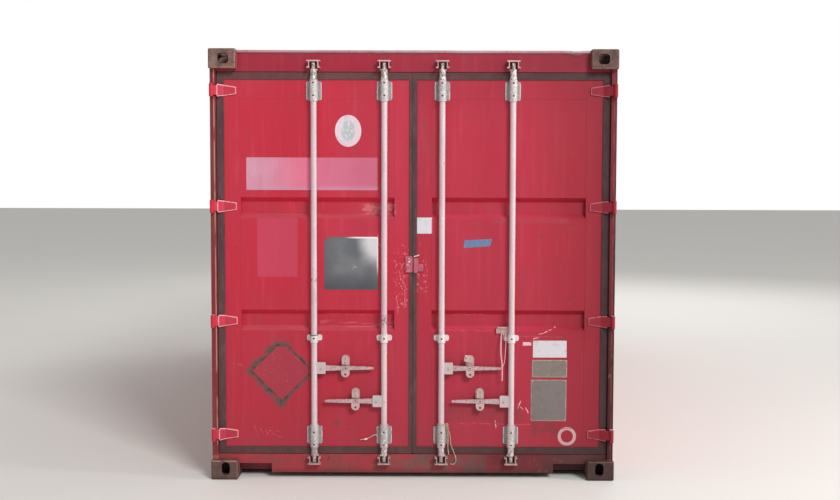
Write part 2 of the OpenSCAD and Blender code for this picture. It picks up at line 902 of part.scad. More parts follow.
module leaf_frame() {
    color(paint) union() {
        leaf_tube([frame_in, frame_low], [panel_in, frame_high], true);
        leaf_tube([panel_out, frame_low], [frame_out, frame_high], true);
        leaf_tube([panel_in, frame_low], [panel_out, frame_low + cross_rail_h], false);
        leaf_tube([panel_in, frame_high - cross_rail_h], [panel_out, frame_high], false);
    }
}

// One edge of the leaf's panel in depth and Z, moved in by the given thickness
function panel_edge(shift) =
    let (
        bend = shift * tan(atan(fold_depth / fold_slope) / 2),
        half = fold_floor / 2
    )
    [for (z = [low_fold_z, high_fold_z], p = [
        [0, -half - fold_slope + bend * -1], [fold_depth, -half - bend],
        [fold_depth, half + bend], [0, half + fold_slope + bend]
    ]) [leaf_depth + p[0] + shift, z + p[1]]];

module leaf_panel() {
    low = frame_low + cross_rail_h;
    high = frame_high - cross_rail_h;
    front = panel_edge(0);
    inner = panel_edge(sheet_t);
    back = [for (i = [len(inner) - 1 : -1 : 0]) inner[i]];
    color(paint) along_x(panel_in, panel_out) polygon(concat(
        [[leaf_depth + sheet_t, low], [leaf_depth, low]], front,
        [[leaf_depth, high], [leaf_depth + sheet_t, high]], back
    ));
}

module leaf_gasket() {
    notch_h = max(lug_h, shoulder_h) + 4;
    color(rubber) difference() {
        block([leaf_in, leaf_depth - lip_t, leaf_low], [leaf_out, leaf_depth + leaf_t, leaf_high]);
        block([frame_in, leaf_depth, frame_low], [frame_out, leaf_depth + leaf_t + 1, frame_high]);
        block(
            [leaf_in + middle_lip_w, leaf_depth - lip_t - 1, leaf_low + lip_w],
            [leaf_out - lip_w, leaf_depth + 1, leaf_high - lip_w]
        );
        for (z = hinge_heights) block(
            [leaf_out - lip_w - 1, leaf_depth - lip_t - 1, z - notch_h / 2],
            [leaf_out + 1, leaf_depth, z + notch_h / 2]
        );
    }
}

// A hinge blade's plan from its knuckle, in X and depth
module blade_plan() {
    reach = leaf_depth - blade_t / 2 - pin_depth;
    bend_x = pin_x - reach / tan(blade_angle);
    half = blade_t / 2;
    corner = half * tan(blade_angle / 2);
    slant = [half * sin(blade_angle), half * cos(blade_angle)];
    translate([pin_x, pin_depth]) circle(knuckle_r);
    polygon([
        [pin_x + slant[0], pin_depth + slant[1]],
        [bend_x + corner, leaf_depth],
        [pin_x - blade_l, leaf_depth],
        [pin_x - blade_l, leaf_depth - blade_t],
        [bend_x - corner, leaf_depth - blade_t],
        [pin_x - slant[0], pin_depth - slant[1]]
    ]);
}

module hinge_blades() {
    far = pin_x - blade_l;
    near = pin_x + knuckle_r;
    shoulder = pin_x - shoulder_in;
    color(paint) for (z = hinge_heights) translate([0, 0, z]) difference() {
        intersection() {
            along_z(-shoulder_h / 2, shoulder_h / 2) blade_plan();
            along_y(0, leaf_depth) polygon([
                [far, -blade_end_h / 2], [shoulder - 4, -shoulder_h / 2],
                [shoulder, -blade_h / 2], [near, -blade_h / 2], [near, blade_h / 2],
                [shoulder, blade_h / 2], [shoulder - 4, shoulder_h / 2], [far, blade_end_h / 2]
            ]);
        }
        translate([pin_x, pin_depth, -blade_h]) cylinder(r = pin_r + pin_fit, h = 2 * blade_h);
    }
}

module hinge_lugs() {
    color(paint) both_sides() translate([0, rear_y, 0]) for (z = hinge_heights)
        translate([0, 0, z]) {
            for (end = [-1, 1])
                translate([0, 0, end * (blade_h / 2 + lug_gap + lug_t / 2) - lug_t / 2])
                    linear_extrude(lug_t) {
                        translate([pin_x, pin_depth]) circle(knuckle_r);
                        translate([pin_x - knuckle_r, pin_depth])
                            square([2 * knuckle_r, post_depth - pin_depth]);
                    }
            translate([pin_x, pin_depth, -lug_h / 2]) cylinder(r = pin_r, h = lug_h);
        }
}

// Lock rods, drawn with the handle pointing to the right

module at_rod(rod) {
    translate([rod[0], rear_y + rod_depth, 0]) mirror([rod[1] < 0 ? 1 : 0, 0, 0]) children();
}

// A rod's end, standing up from its claw
module cam() {
    translate([0, 0, -neck_h]) cylinder(r = cam_r, h = neck_h + claw_t);
    cylinder(r = nose_r, h = claw_t + nose_h);
    linear_extrude(claw_t) translate([claw_l / 2, 0]) soft_square(claw_l, claw_w, claw_round);
}

module handle_hub() {
    gap = handle_t / 2 + handle_fit;
    for (side = [0, 1]) mirror([0, side, 0]) translate([0, gap + cheek_t, 0])
        rotate([90, 0, 0]) linear_extrude(cheek_t)
            translate([hub_l / 2, 0]) soft_square(hub_l, hub_h, 6);
    translate([pivot_x, gap + cheek_t, 0]) rotate([90, 0, 0])
        cylinder(r = pivot_r, h = 2 * (gap + cheek_t));
}

module lock_rod(rod) {
    color(galvanised) at_rod(rod) {
        translate([0, 0, low_claw_z]) cylinder(r = rod_r, h = top_claw_z - low_claw_z);
        translate([0, 0, top_claw_z]) cam();
        translate([0, 0, low_claw_z]) mirror([0, 0, 1]) cam();
        translate([0, 0, rod[2]]) handle_hub();
    }
}

// A keeper's plate, cheeks and ears on a beam's face, opening towards the claw below it
module keeper() {
    plate_z = claw_t + nose_h + cam_gap;
    ear_z = claw_t + cam_gap;
    ear_w = keeper_w / 2 - keeper_in;
    along_y(keeper_depth, beam_depth) {
        translate([-keeper_w / 2, plate_z]) square([keeper_w, keeper_t]);
        for (side = [0, 1]) mirror([side, 0]) {
            translate([keeper_in, ear_z]) square([keeper_cheek, plate_z - ear_z + keeper_t]);
            translate([keeper_in, ear_z]) square([ear_w, keeper_t]);
        }
    }
}

module keeper_row() {
    for (x = [-outer_rod_x, -inner_rod_x, inner_rod_x, outer_rod_x])
        translate([x, 0, 0]) keeper();
}

module header_keepers() {
    color(galvanised) translate([0, rear_y, top_claw_z]) keeper_row();
}

module sill_keepers() {
    color(galvanised) translate([0, rear_y, low_claw_z]) mirror([0, 0, 1]) keeper_row();
}

// Rod brackets on the leaf's face

// A bracket's barrel hangs from the given top, with the foot at its middle
module bracket(top, height, foot_h, bolts) {
    face = leaf_depth - rod_depth;
    front = rod_r + rod_fit + barrel_t;
    difference() {
        union() {
            along_y(face - foot_t, face) translate([0, top - height / 2])
                soft_square(foot_w, foot_h, foot_round);
            translate([0, 0, top - height]) cylinder(r = front, h = height);
            translate([-barrel_w / 2, 0, top - height]) cube([barrel_w, face - foot_t, height]);
        }
        translate([0, 0, top - height - 1]) cylinder(r = rod_r + rod_fit, h = height + 2);
        for (z = bolts) translate([0, 0, z]) rotate([90, 0, 0]) cylinder(r = bolt_r, h = 2 * front);
    }
}

module brackets(rods) {
    color(galvanised) for (rod = rods) at_rod(rod) {
        high_bolt = high_bracket_z - bolt_in;
        low_bolt = low_bracket_z - low_barrel_h + bolt_in;
        bracket(high_bracket_z, high_barrel_h, high_foot_h, [high_bolt, high_bolt - bolt_pitch]);
        bracket(mid_bracket_z + mid_barrel_h / 2, mid_barrel_h, mid_foot_h, [mid_bracket_z]);
        bracket(low_bracket_z, low_barrel_h, low_foot_h, [low_bolt, low_bolt + bolt_pitch]);
    }
}

// Handles, retainers and catches, drawn from the rod's axis

module handle(rod) {
    eye_x = rod[3] - pivot_x;
    color(galvanised) at_rod(rod) translate([pivot_x, handle_t / 2, rod[2]])
        rotate([90, 0, 0]) difference() {
            union() {
                linear_extrude(handle_t) {
                    circle(handle_r);
                    polygon([
                        [0, -handle_r], [eye_x - grip_in, -grip_r], [eye_x + grip_out, -grip_r],
                        [handle_l - tip_r, -tip_r], [handle_l - tip_r, tip_r],
                        [eye_x + grip_out, grip_r], [eye_x - grip_in, grip_r], [0, handle_r]
                    ]);
                    translate([handle_l - tip_r, 0]) circle(tip_r);
                }
                translate([eye_x, 0, handle_t / 2]) cylinder(r = grip_r - 1, h = handle_t / 2 + 2);
            }
            translate([0, 0, -1]) cylinder(r = pivot_r + pin_fit, h = handle_t + 2);
            translate([eye_x, 0, -1]) cylinder(r = eye_hole_r, h = handle_t + 4);
        }
}

// A catch's rivet lies this far above the handle's middle line
rivet_up = retainer_up - retainer_w / 2 + 8;

module retainer(rod) {
    face = leaf_depth - rod_depth;
    ledge_y = ledge_depth - rod_depth;
    catch_back = catch_depth + catch_t - rod_depth;
    ledge_top = -grip_r - ledge_gap;
    span = retainer_up + retainer_down;
    color(galvanised) at_rod(rod) translate([rod[3], 0, rod[2]]) {
        along_y(face - foot_t, face) translate([0, (retainer_up - retainer_down) / 2])
            rotate(90) oblong(span, retainer_w);
        difference() {
            along_y(ledge_y, face - foot_t) translate([0, (retainer_up - retainer_down) / 2])
                rotate(90) oblong(span, retainer_w);
            block([-retainer_w, ledge_y - 1, ledge_top], [retainer_w, face, retainer_up + 1]);
            along_y(ledge_y - 1, ledge_y + 8) translate([0, -retainer_down + retainer_w / 3])
                circle(eye_hole_r + 2);
        }
        along_y(catch_back + pin_fit, face - foot_t) translate([0, rivet_up]) circle(9);
        along_y(catch_depth - rod_depth - 2, catch_back + pin_fit) translate([0, rivet_up])
            circle(pivot_r);
    }
}

module retainers(rods) {
    for (rod = rods) retainer(rod);
}

// A catch hangs from its rivet down to just above the resting handle
module catch(rod, turn) {
    front = catch_depth - rod_depth;
    reach = rivet_up - handle_r - 6;
    up = retainer_up - rivet_up;
    color(galvanised) at_rod(rod) translate([rod[3], 0, rod[2] + rivet_up])
        rotate([0, turn, 0]) along_y(front, front + catch_t) difference() {
            union() {
                circle(up);
                translate([-catch_w / 2, -reach + 8]) square([catch_w, reach - 8]);
                translate([0, -reach + 8]) soft_square(catch_w, 16, 7);
            }
            circle(pivot_r + pin_fit);
            translate([0, -reach + 9]) circle(eye_hole_r);
        }
}

// Rope tied round the right inner rod above its lower bracket

function unit(v) = v / norm(v);

// The eight corners of a tube's ring at a point, square to the way through it
function rope_ring(points, i) =
    let (
        last = len(points) - 1,
        way = unit(points[min(i + 1, last)] - points[max(i - 1, 0)]),
        deep = unit([0, 1, 0] - way[1] * way),
        across = cross(way, deep)
    )
    [for (a = [0 : 45 : 315]) points[i] + rope_r * (cos(a) * deep + sin(a) * across)];

module rope(points) {
    last = len(points) - 1;
    rings = [for (i = [0 : last], p = rope_ring(points, i)) p];
    sides = [for (i = [0 : last - 1], k = [0 : 7])
        [i * 8 + k, (i + 1) * 8 + k, (i + 1) * 8 + (k + 1) % 8, i * 8 + (k + 1) % 8]];
    low = [for (k = [0 : 7]) k];
    high = [for (k = [7 : -1 : 0]) last * 8 + k];
    color(hemp) translate([inner_rod_x, rear_y, 0])
        polyhedron(rings, concat([low, high], sides), convexity = 4);
}

module rope_knot() {
    loop_r = rod_r + rod_fit + rope_r;
    color(hemp) translate([inner_rod_x, rear_y, 0]) {
        translate([0, rod_depth, low_bracket_z + rope_r + ledge_gap])
            rotate_extrude() translate([loop_r, 0]) circle(rope_r);
        translate(knot_up) sphere(knot_r);
        translate(knot_low) sphere(knot_r);
    }
}

// Nodes of the two doors

module left_door_frame() {
    right_side(true) leaf_frame();
}

module left_door_panel() {
    right_side(true) leaf_panel();
}

module left_door_gasket() {
    right_side(true) leaf_gasket();
}

module left_door_hinges() {
    right_side(true) hinge_blades();
}

module left_door_brackets() {
    brackets([left_outer, left_inner]);
}

module left_door_retainers() {
    retainers([left_outer, left_inner]);
}

module right_door_frame() {
    right_side(false) leaf_frame();
}

module right_door_panel() {
    right_side(false) leaf_panel();
}

module right_door_gasket() {
    right_side(false) leaf_gasket();
}

module right_door_hinges() {
    right_side(false) hinge_blades();
}

module right_door_brackets() {
    brackets([right_inner, right_outer]);
}

module right_door_retainers() {
    retainers([right_inner, right_outer]);
}

corner_fittings_bottom();
corner_fittings_top();
rear_posts();
hinge_lugs();
front_posts();
door_header();
door_sill();
front_top_rail();
front_bottom_rail();
roof_side_rails();
bottom_side_rails();
left_side_wall();
right_side_wall();
front_wall();
roof_panel();
wall_vents();
floor_boards();
cross_members();
fork_pockets();
header_keepers();
sill_keepers();
left_door_frame();
left_door_panel();
left_door_gasket();
left_door_hinges();
left_door_brackets();
left_door_retainers();
right_door_frame();
right_door_panel();
right_door_gasket();
right_door_hinges();
right_door_brackets();
right_door_retainers();
lock_rod(left_outer);  // left_outer_rod
lock_rod(left_inner);  // left_inner_rod
lock_rod(right_inner);  // right_inner_rod
lock_rod(right_outer);  // right_outer_rod
handle(left_outer);  // left_outer_handle
handle(left_inner);  // left_inner_handle
handle(right_inner);  // right_inner_handle
handle(right_outer);  // right_outer_handle
catch(left_outer, 0);  // left_outer_catch
catch(left_inner, 0);  // left_inner_catch
catch(right_inner, open_turn);  // right_inner_catch
catch(right_outer, 0);  // right_outer_catch
rope_knot();
rope(long_end);  // rope_long_end
rope(short_end);  // rope_short_end
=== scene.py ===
"""The looks of a twenty foot dry freight container, seen at its door end.

Places of pieces and marks are in millimetres: x from the middle, depth in from the rear faces of
the corner fittings, z up from the ground. Inside the node materials lengths are in metres.
Colours are sRGB, 0 to 255.
"""

import math

import bmesh
import bpy
from mathutils import Matrix, Vector, noise


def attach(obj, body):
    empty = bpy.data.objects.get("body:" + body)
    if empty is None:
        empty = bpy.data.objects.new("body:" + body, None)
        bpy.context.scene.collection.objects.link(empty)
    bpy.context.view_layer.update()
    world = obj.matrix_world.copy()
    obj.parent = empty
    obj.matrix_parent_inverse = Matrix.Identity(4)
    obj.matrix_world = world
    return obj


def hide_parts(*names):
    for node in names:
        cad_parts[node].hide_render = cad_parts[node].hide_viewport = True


IMAGE_W = 840
FOCAL_PX = 1150.0
SENSOR = 36.0
FAR_CLIP = 200
EYE = (0.0562, -9.886, 1.820)
YAW = -0.0021
PITCH = 0.0616
ROLL = 0.0029

REAR = -3.029
LENGTH = 6058.0
LEAF = 65.0
HEADER_DEPTH = 58.0
POST_DEPTH = 40.0
ROD_DEPTH = 30.0
ROD_R = 18.0
OUTER_ROD_X = 595.0
INNER_ROD_X = 173.0
GASKET_OUT = 1176.0
GASKET_LOW = 152.0
GASKET_HIGH = 2453.0
PANEL_X = (112, 1038)
PANEL_Z = (306, 2299)
PANEL_FLATS = ((306, 900), (1032, 1580), (1712, 2299))
HINGE_HEIGHTS = (271.0, 962.7, 1654.3, 2346.0)
BOLT_HEIGHTS = (2390, 2314, 861, 215, 291)
KEEPER_EDGES = (2477, 2523, 93, 139)
SIDES = (("left", -1), ("right", 1))
LEFT = "left_door"
RIGHT = "right_door"
RODS = (("left_outer", -OUTER_ROD_X), ("left_inner", -INNER_ROD_X),
        ("right_inner", INNER_ROD_X), ("right_outer", OUTER_ROD_X))

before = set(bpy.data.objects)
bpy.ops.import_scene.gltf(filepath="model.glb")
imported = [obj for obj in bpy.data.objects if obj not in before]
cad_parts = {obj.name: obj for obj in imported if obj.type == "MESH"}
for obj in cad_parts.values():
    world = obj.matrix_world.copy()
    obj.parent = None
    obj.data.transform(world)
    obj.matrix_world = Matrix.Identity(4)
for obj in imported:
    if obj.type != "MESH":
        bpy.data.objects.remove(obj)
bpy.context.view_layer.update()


def spot(x, depth, z):
    """The point in metres, in the row frame."""
    return Vector((x / 1000, REAR + depth / 1000, z / 1000))


def make_camera():
    """The photograph's viewpoint, as its lens and the size of the door end give it."""
    ahead = Vector((math.sin(YAW) * math.cos(PITCH), math.cos(YAW) * math.cos(PITCH),
                    -math.sin(PITCH)))
    level = Vector((math.cos(YAW), -math.sin(YAW), 0))
    upright = level.cross(ahead)
    side = math.cos(ROLL) * level + math.sin(ROLL) * upright
    up = math.cos(ROLL) * upright - math.sin(ROLL) * level
    data = bpy.data.cameras.new("camera")
    data.sensor_fit = "HORIZONTAL"
    data.sensor_width = SENSOR
    data.lens = FOCAL_PX * SENSOR / IMAGE_W
    data.clip_end = FAR_CLIP
    camera = bpy.data.objects.new("camera", data)
    turn = Matrix((side, up, -ahead)).transposed().to_4x4()
    camera.matrix_world = Matrix.Translation(EYE) @ turn
    bpy.context.collection.objects.link(camera)
    bpy.context.scene.camera = camera


# Outlines and paths


def turns(count):
    """That many angles, evenly round."""
    return [2 * math.pi * k / count for k in range(count)]


def ellipse(x, z, rx, rz):
    return [(x + rx * math.cos(a), z + rz * math.sin(a)) for a in turns(56)]


def rounded(x0, x1, z0, z1, radii):
    """A rectangle whose corners have the given radii: low left, low right, high right, high left."""
    if not isinstance(radii, tuple):
        radii = (radii,) * 4
    outline = []
    corners = ((x0, z0, 180), (x1, z0, 270), (x1, z1, 0), (x0, z1, 90))
    for (x, z, start), r in zip(corners, radii):
        cx = x + r if x == x0 else x - r
        cz = z + r if z == z0 else z - r
        for k in range(7):
            a = math.radians(start + 15 * k)
            outline.append((cx + r * math.cos(a), cz + r * math.sin(a)))
    return outline


def inset(outline, by):
    """The outline moved inwards, for outlines without sharp inner corners."""
    area = sum(a[0] * b[1] - b[0] * a[1] for a, b in zip(outline, outline[1:] + outline[:1]))
    turn = 1 if area > 0 else -1
    moved = []
    for i, (x, z) in enumerate(outline):
        before, after = outline[i - 1], outline[(i + 1) % len(outline)]
        e1 = Vector((x - before[0], z - before[1])).normalized()
        e2 = Vector((after[0] - x, after[1] - z)).normalized()
        normal = Vector((-(e1.y + e2.y), e1.x + e2.x)) * turn
        normal.normalize()
        reach = by / max(0.4, normal.dot(Vector((-e1.y, e1.x)) * turn))
        moved.append((x + normal.x * reach, z + normal.y * reach))
    return moved


def smooth_path(points, steps):
    """Points on a smooth curve through the given points, steps to each stretch."""
    p = [spot(*q) for q in points]
    p = [2 * p[0] - p[1]] + p + [2 * p[-1] - p[-2]]
    path = []
    for a, b, c, d in zip(p, p[1:], p[2:], p[3:]):
        for k in range(steps):
            t = k / steps
            path.append(0.5 * (2 * b + (c - a) * t + (2 * a - 5 * b + 4 * c - d) * t * t
                               + (3 * b - a - 3 * c + d) * t ** 3))
    path.append(p[-2])
    return path


def headings(path, closed=False):
    """The direction of a path at each of its points."""
    n = len(path)
    if closed:
        return [(path[(i + 1) % n] - path[i - 1]).normalized() for i in range(n)]
    return [(path[min(i + 1, n - 1)] - path[max(i - 1, 0)]).normalized() for i in range(n)]


def round_rod(rod_x, radius, z, count, tilt=0.0, start=0.0):
    """A ring of points round a rod, higher on one side by the tilt."""
    return [spot(rod_x + radius * math.cos(a), ROD_DEPTH + radius * math.sin(a),
                 z + tilt * math.sin(a + start)) for a in turns(count)]


SHARP_ANGLE = math.radians(38)
BEAD_STEP = 0.005
BEAD_RIPPLE = 900


class Shape:
    """A mesh in the making. What adds to it gives it back, so that steps can follow on."""

    def __init__(self):
        self.mesh = bmesh.new()

    def skin(self, rings, closed=False):
        """Joins rings of points by four-sided faces. Closed, the last ring joins the first."""
        rows = [[self.mesh.verts.new(p) for p in ring] for ring in rings]
        pairs = list(zip(rows, rows[1:]))
        if closed:
            pairs.append((rows[-1], rows[0]))
        n = len(rows[0])
        for low, high in pairs:
            for i in range(n):
                j = (i + 1) % n
                self.mesh.faces.new((low[i], low[j], high[j], high[i]))
        if not closed:
            self.mesh.faces.new(rows[0][::-1])
            self.mesh.faces.new(rows[-1])
        return self

    def prism(self, outline, back, front, edge=0.3):
        """A plate of that outline in x and z, from back to front in depth, its front edge eased."""
        return self.skin([[spot(x, back, z) for x, z in outline],
                          [spot(x, front + edge, z) for x, z in outline],
                          [spot(x, front, z) for x, z in inset(outline, edge)]])

    def block(self, low, high, edge=1.0):
        """A block between two corners with eased edges."""
        made = bmesh.ops.create_cube(self.mesh, size=1.0)
        a, b = spot(*low), spot(*high)
        for v in made["verts"]:
            v.co = Vector([a[i] + (b[i] - a[i]) * (v.co[i] + 0.5) for i in range(3)])
        edges = {e for v in made["verts"] for e in v.link_edges}
        bmesh.ops.bevel(self.mesh, geom=list(edges), offset=edge / 1000, segments=2,
                        affect="EDGES", profile=0.5)
        return self

    def dome(self, centre, radius, height, sides=16, up=False):
        """A rivet or bolt head. It stands out to the rear, or up."""
        x, depth, z = centre
        rings = []
        for k in range(4):
            turn = math.radians(26 * k)
            r, h = radius * math.cos(turn), height * math.sin(turn) / math.sin(math.radians(78))
            rings.append([spot(x + r * math.cos(a), depth + r * math.sin(a), z + h) if up
                          else spot(x + r * math.cos(a), depth - h, z + r * math.sin(a))
                          for a in turns(sides)])
        return self.skin(rings)

    def tube(self, path, section, sides, closed=False):
        """Sweeps a section along a path in metres. section gives the radius by angle and run."""
        ahead = headings(path, closed)
        across = ahead[0].orthogonal().normalized()
        run = 0.0
        rings = []
        for i, p in enumerate(path):
            across = (across - across.dot(ahead[i]) * ahead[i]).normalized()
            other = ahead[i].cross(across)
            if i:
                run += (p - path[i - 1]).length
            rings.append([p + section(a, run) * (math.cos(a) * across + math.sin(a) * other)
                          for a in turns(sides)])
        return self.skin(rings, closed)

    def bead(self, start, end, radius):
        """A straight weld bead between two points."""
        a, b = spot(*start), spot(*end)
        steps = max(2, int((b - a).length / BEAD_STEP))
        path = [a.lerp(b, k / steps) for k in range(steps)] + [b]
        return self.tube(path, lambda a, run: radius / 1000 * (1 + 0.25 * math.sin(run * BEAD_RIPPLE)), 6)

    def done(self, name, material, body, smooth=True):
        """The finished piece, riding on its body."""
        bmesh.ops.recalc_face_normals(self.mesh, faces=self.mesh.faces)
        data = bpy.data.meshes.new(name)
        self.mesh.to_mesh(data)
        self.mesh.free()
        if smooth:
            data.shade_smooth()
            data.set_sharp_from_angle(angle=SHARP_ANGLE)
        data.materials.append(material)
        piece = bpy.data.objects.new(name, data)
        bpy.context.collection.objects.link(piece)
        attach(piece, body)
        return piece


# Materials

EVEN = (1, 1, 1)
RUST = (112, 66, 48)
DARK_RUST = (70, 47, 40)
GRIME = (116, 72, 68)
CHIP = (222, 152, 160)

# Marks on the leaves and the sill: x from and to, z from and to
REPAINT = (-935, -701, 1233, 1577)
WIPED = (-302, -112, 1612, 1664)
RUBBED = (-560, -115, 925, 955)
SMUDGE = (-478, -452, 322, 352)
LEFT_CHIPS = ((-104, -24, 1050, 1390), (-245, -180, 1400, 1475))
RIGHT_CHIPS = ((12, 75, 1150, 1320), (0, 30, 1250, 1500))
SMEAR = (668, 716, 816, 834)
STAIN = (722, 880, 262, 345)
DULL = (180, 640, 375, 420)
OLD_LABEL = (470, 930, 1560, 1592)
SILL_STAINS = (((-150, -80, 85, 130), 0.02), ((-30, 290, 60, 125), 0.05), ((330, 440, 40, 135), 0.015))
SILL_RED = (470, 780, 70, 140)
# A box of painted shade on the low right fitting: x from and to, z from and to
LOW_RIGHT_FITTING_SHADE = (1000, 1230, 0, 130)

# The scraped-off label: its middle, half its width and height, and how far up it was cut
DIAMOND_X, DIAMOND_Z = -0.794, 0.655
DIAMOND_WIDE, DIAMOND_HIGH, DIAMOND_CUT = 0.180, 0.178, 0.152

# Scratches: x and z of one end, x and z of the other, width
LEFT_SCRAPES = ((-52, 1040, -46, 1180, 4), (-84, 1262, -60, 1195, 4), (-96, 1100, -88, 1005, 3),
                (-40, 1240, -66, 1216, 4), (-66, 1420, -28, 1404, 4), (-60, 1372, -34, 1366, 4),
                (-962, 316, -944, 262, 2), (-925, 300, -912, 268, 2), (-896, 296, -880, 262, 2),
                (-870, 290, -812, 284, 2), (-850, 268, -800, 248, 2))
LEFT_LINES = ((-520, 1001, -180, 999, 3), (-700, 1022, -640, 1020, 3), (-1085, 700, -1040, 690, 3),
              (-260, 1790, -190, 1750, 3))
RIGHT_SCRAPES = ((770, 884, 862, 922, 4), (640, 455, 672, 420, 4), (500, 350, 508, 312, 4),
                 (655, 470, 640, 430, 4), (690, 430, 700, 404, 4), (720, 852, 756, 862, 4))
RIGHT_LINES = ((288, 336, 470, 334, 3), (250, 1001, 420, 999, 3), (620, 872, 900, 868, 3),
               (150, 905, 560, 902, 3), (510, 334, 712, 331, 3))
GREY_SCRAPES = ((-362, 1286, -353, 1302, 4), (-353, 1302, -342, 1290, 4))
ROD_SCUFFS = ((-OUTER_ROD_X - 20, -OUTER_ROD_X + 20, 1206, 1220),
              (-INNER_ROD_X - 20, -INNER_ROD_X + 20, 934, 1000))


def linear(colour):
    """An sRGB colour, 0 to 255, as Blender's linear one."""
    values = []
    for c in colour:
        c /= 255
        values.append(c / 12.92 if c <= 0.04045 else ((c + 0.055) / 1.055) ** 2.4)
    return (*values, 1.0)


class Finish:
    """A node material whose patterns stay with the piece, at real scale."""

    def __init__(self, name, metallic=0.0, specular=0.25):
        self.material = bpy.data.materials.new(name)
        self.material.use_nodes = True
        self.tree = self.material.node_tree
        self.tree.nodes.clear()
        self.colour = None
        self.shader = self.add("BsdfPrincipled")
        self.tree.links.new(self.shader.outputs["BSDF"], self.add("OutputMaterial").inputs["Surface"])
        self.shader.inputs["Metallic"].default_value = metallic
        self.shader.inputs["Specular IOR Level"].default_value = specular
        place = self.add("TexCoord")
        self.where = place.outputs["Object"]
        self.x, self.y, self.z = self.split(self.where)
        self.face_x, self.face_y, self.face_z = self.split(place.outputs["Normal"])

    def add(self, kind):
        return self.tree.nodes.new("ShaderNode" + kind)

    def split(self, vector):
        node = self.add("SeparateXYZ")
        self.tree.links.new(vector, node.inputs[0])
        return node.outputs[0], node.outputs[1], node.outputs[2]

    def put(self, value, socket):
        if isinstance(value, bpy.types.NodeSocket):
            self.tree.links.new(value, socket)
        else:
            socket.default_value = value

    def calc(self, operation, a, b=0.0):
        node = self.add("Math")
        node.operation = operation
        self.put(a, node.inputs[0])
        self.put(b, node.inputs[1])
        return node.outputs[0]

    def plus(self, a, b):
        return self.calc("ADD", a, b)

    def minus(self, a, b):
        return self.calc("SUBTRACT", a, b)

    def size(self, value):
        return self.calc("ABSOLUTE", value)

    def times(self, *values):
        made = values[0]
        for v in values[1:]:
            made = self.calc("MULTIPLY", made, v)
        return made

    def either(self, *values):
        made = values[0]
        for v in values[1:]:
            made = self.calc("MAXIMUM", made, v)
        return made

    def ramp(self, value, low, high, to_low=0.0, to_high=1.0):
        """value from low to high, eased, as to_low to to_high."""
        node = self.add("MapRange")
        node.interpolation_type = "SMOOTHSTEP"
        self.put(value, node.inputs["Value"])
        ends = {"From Min": low, "From Max": high, "To Min": to_low, "To Max": to_high}
        for name, number in ends.items():
            node.inputs[name].default_value = number
        return node.outputs[0]

    def band(self, value, low, high, soft):
        """1 where value lies between low and high."""
        return self.times(self.ramp(value, low - soft, low), self.ramp(value, high, high + soft, 1, 0))

    def patch(self, soft, *boxes):
        """1 inside any of the rectangles, given in millimetres and seen from the rear."""
        return self.either(*[self.times(self.band(self.x, x0 / 1000, x1 / 1000, soft),
                                        self.band(self.z, z0 / 1000, z1 / 1000, soft))
                             for x0, x1, z0, z1 in boxes])

    def nearest(self, value, places):
        """How far value is from the nearest of some places in millimetres."""
        near = None
        for place in places:
            gap = self.size(self.minus(value, place / 1000))
            near = gap if near is None else self.calc("MINIMUM", near, gap)
        return near

    def noise(self, size, detail, stretch=EVEN, shift=0.0):
        """Noise whose features are about size across, times the stretch."""
        place = self.add("Mapping")
        place.inputs["Location"].default_value = (shift, shift * 0.7, shift * 1.3)
        place.inputs["Scale"].default_value = [1 / (size * s) for s in stretch]
        self.tree.links.new(self.where, place.inputs["Vector"])
        node = self.add("TexNoise")
        node.inputs["Scale"].default_value = 1.0
        node.inputs["Detail"].default_value = detail
        self.tree.links.new(place.outputs[0], node.inputs["Vector"])
        return node.outputs[0]

    def cloud(self, size, detail, low, high, stretch=EVEN, shift=0.0):
        """Blotches of noise: 0 where it is below low, 1 where it is above high."""
        return self.ramp(self.noise(size, detail, stretch, shift), low, high)

    def rough(self, size, detail, low, high, stretch=EVEN, shift=0.0):
        """Roughness that drifts between low and high."""
        return self.ramp(self.noise(size, detail, stretch, shift), 0.3, 0.7, low, high)

    def mix(self, share, a, b):
        """Colour a going over to colour b by share."""
        node = self.add("Mix")
        node.data_type = "RGBA"
        self.put(share, node.inputs[0])
        self.put(linear(a) if isinstance(a, tuple) else a, node.inputs[6])
        self.put(linear(b) if isinstance(b, tuple) else b, node.inputs[7])
        return node.outputs[2]

    def start(self, share, a, b):
        """The first colour, a going over to b by share."""
        self.colour = self.mix(share, a, b)

    def tint(self, tone, *shares):
        """Lays a tone over the colour, by the product of the shares."""
        self.colour = self.mix(self.times(*shares), self.colour, tone)

    def fade(self, tone, value, low, high, to_low=0.0, to_high=1.0):
        """Lays a tone over the colour as value goes from low to high."""
        self.tint(tone, self.ramp(value, low, high, to_low, to_high))

    def blot(self, tone, share, size, detail, low, high, stretch=EVEN, shift=0.0):
        """Lays a tone over the colour in blotches of noise."""
        self.tint(tone, self.cloud(size, detail, low, high, stretch, shift), share)

    def turned(self, facing, low, high, outer):
        """Lays an outer colour over the faces that look that way."""
        self.colour = self.mix(self.ramp(facing, low, high), self.colour, outer)

    def done(self, rough, *heights):
        """Sets colour and roughness, and bump from (noise, height in millimetres) pairs."""
        self.put(self.colour, self.shader.inputs["Base Color"])
        self.put(rough, self.shader.inputs["Roughness"])
        total = None
        for value, height in heights:
            part = self.times(value, height / 1000)
            total = part if total is None else self.plus(total, part)
        if total is not None:
            bump = self.add("Bump")
            bump.inputs["Distance"].default_value = 1.0
            self.tree.links.new(total, bump.inputs["Height"])
            self.tree.links.new(bump.outputs["Normal"], self.shader.inputs["Normal"])
        return self.material

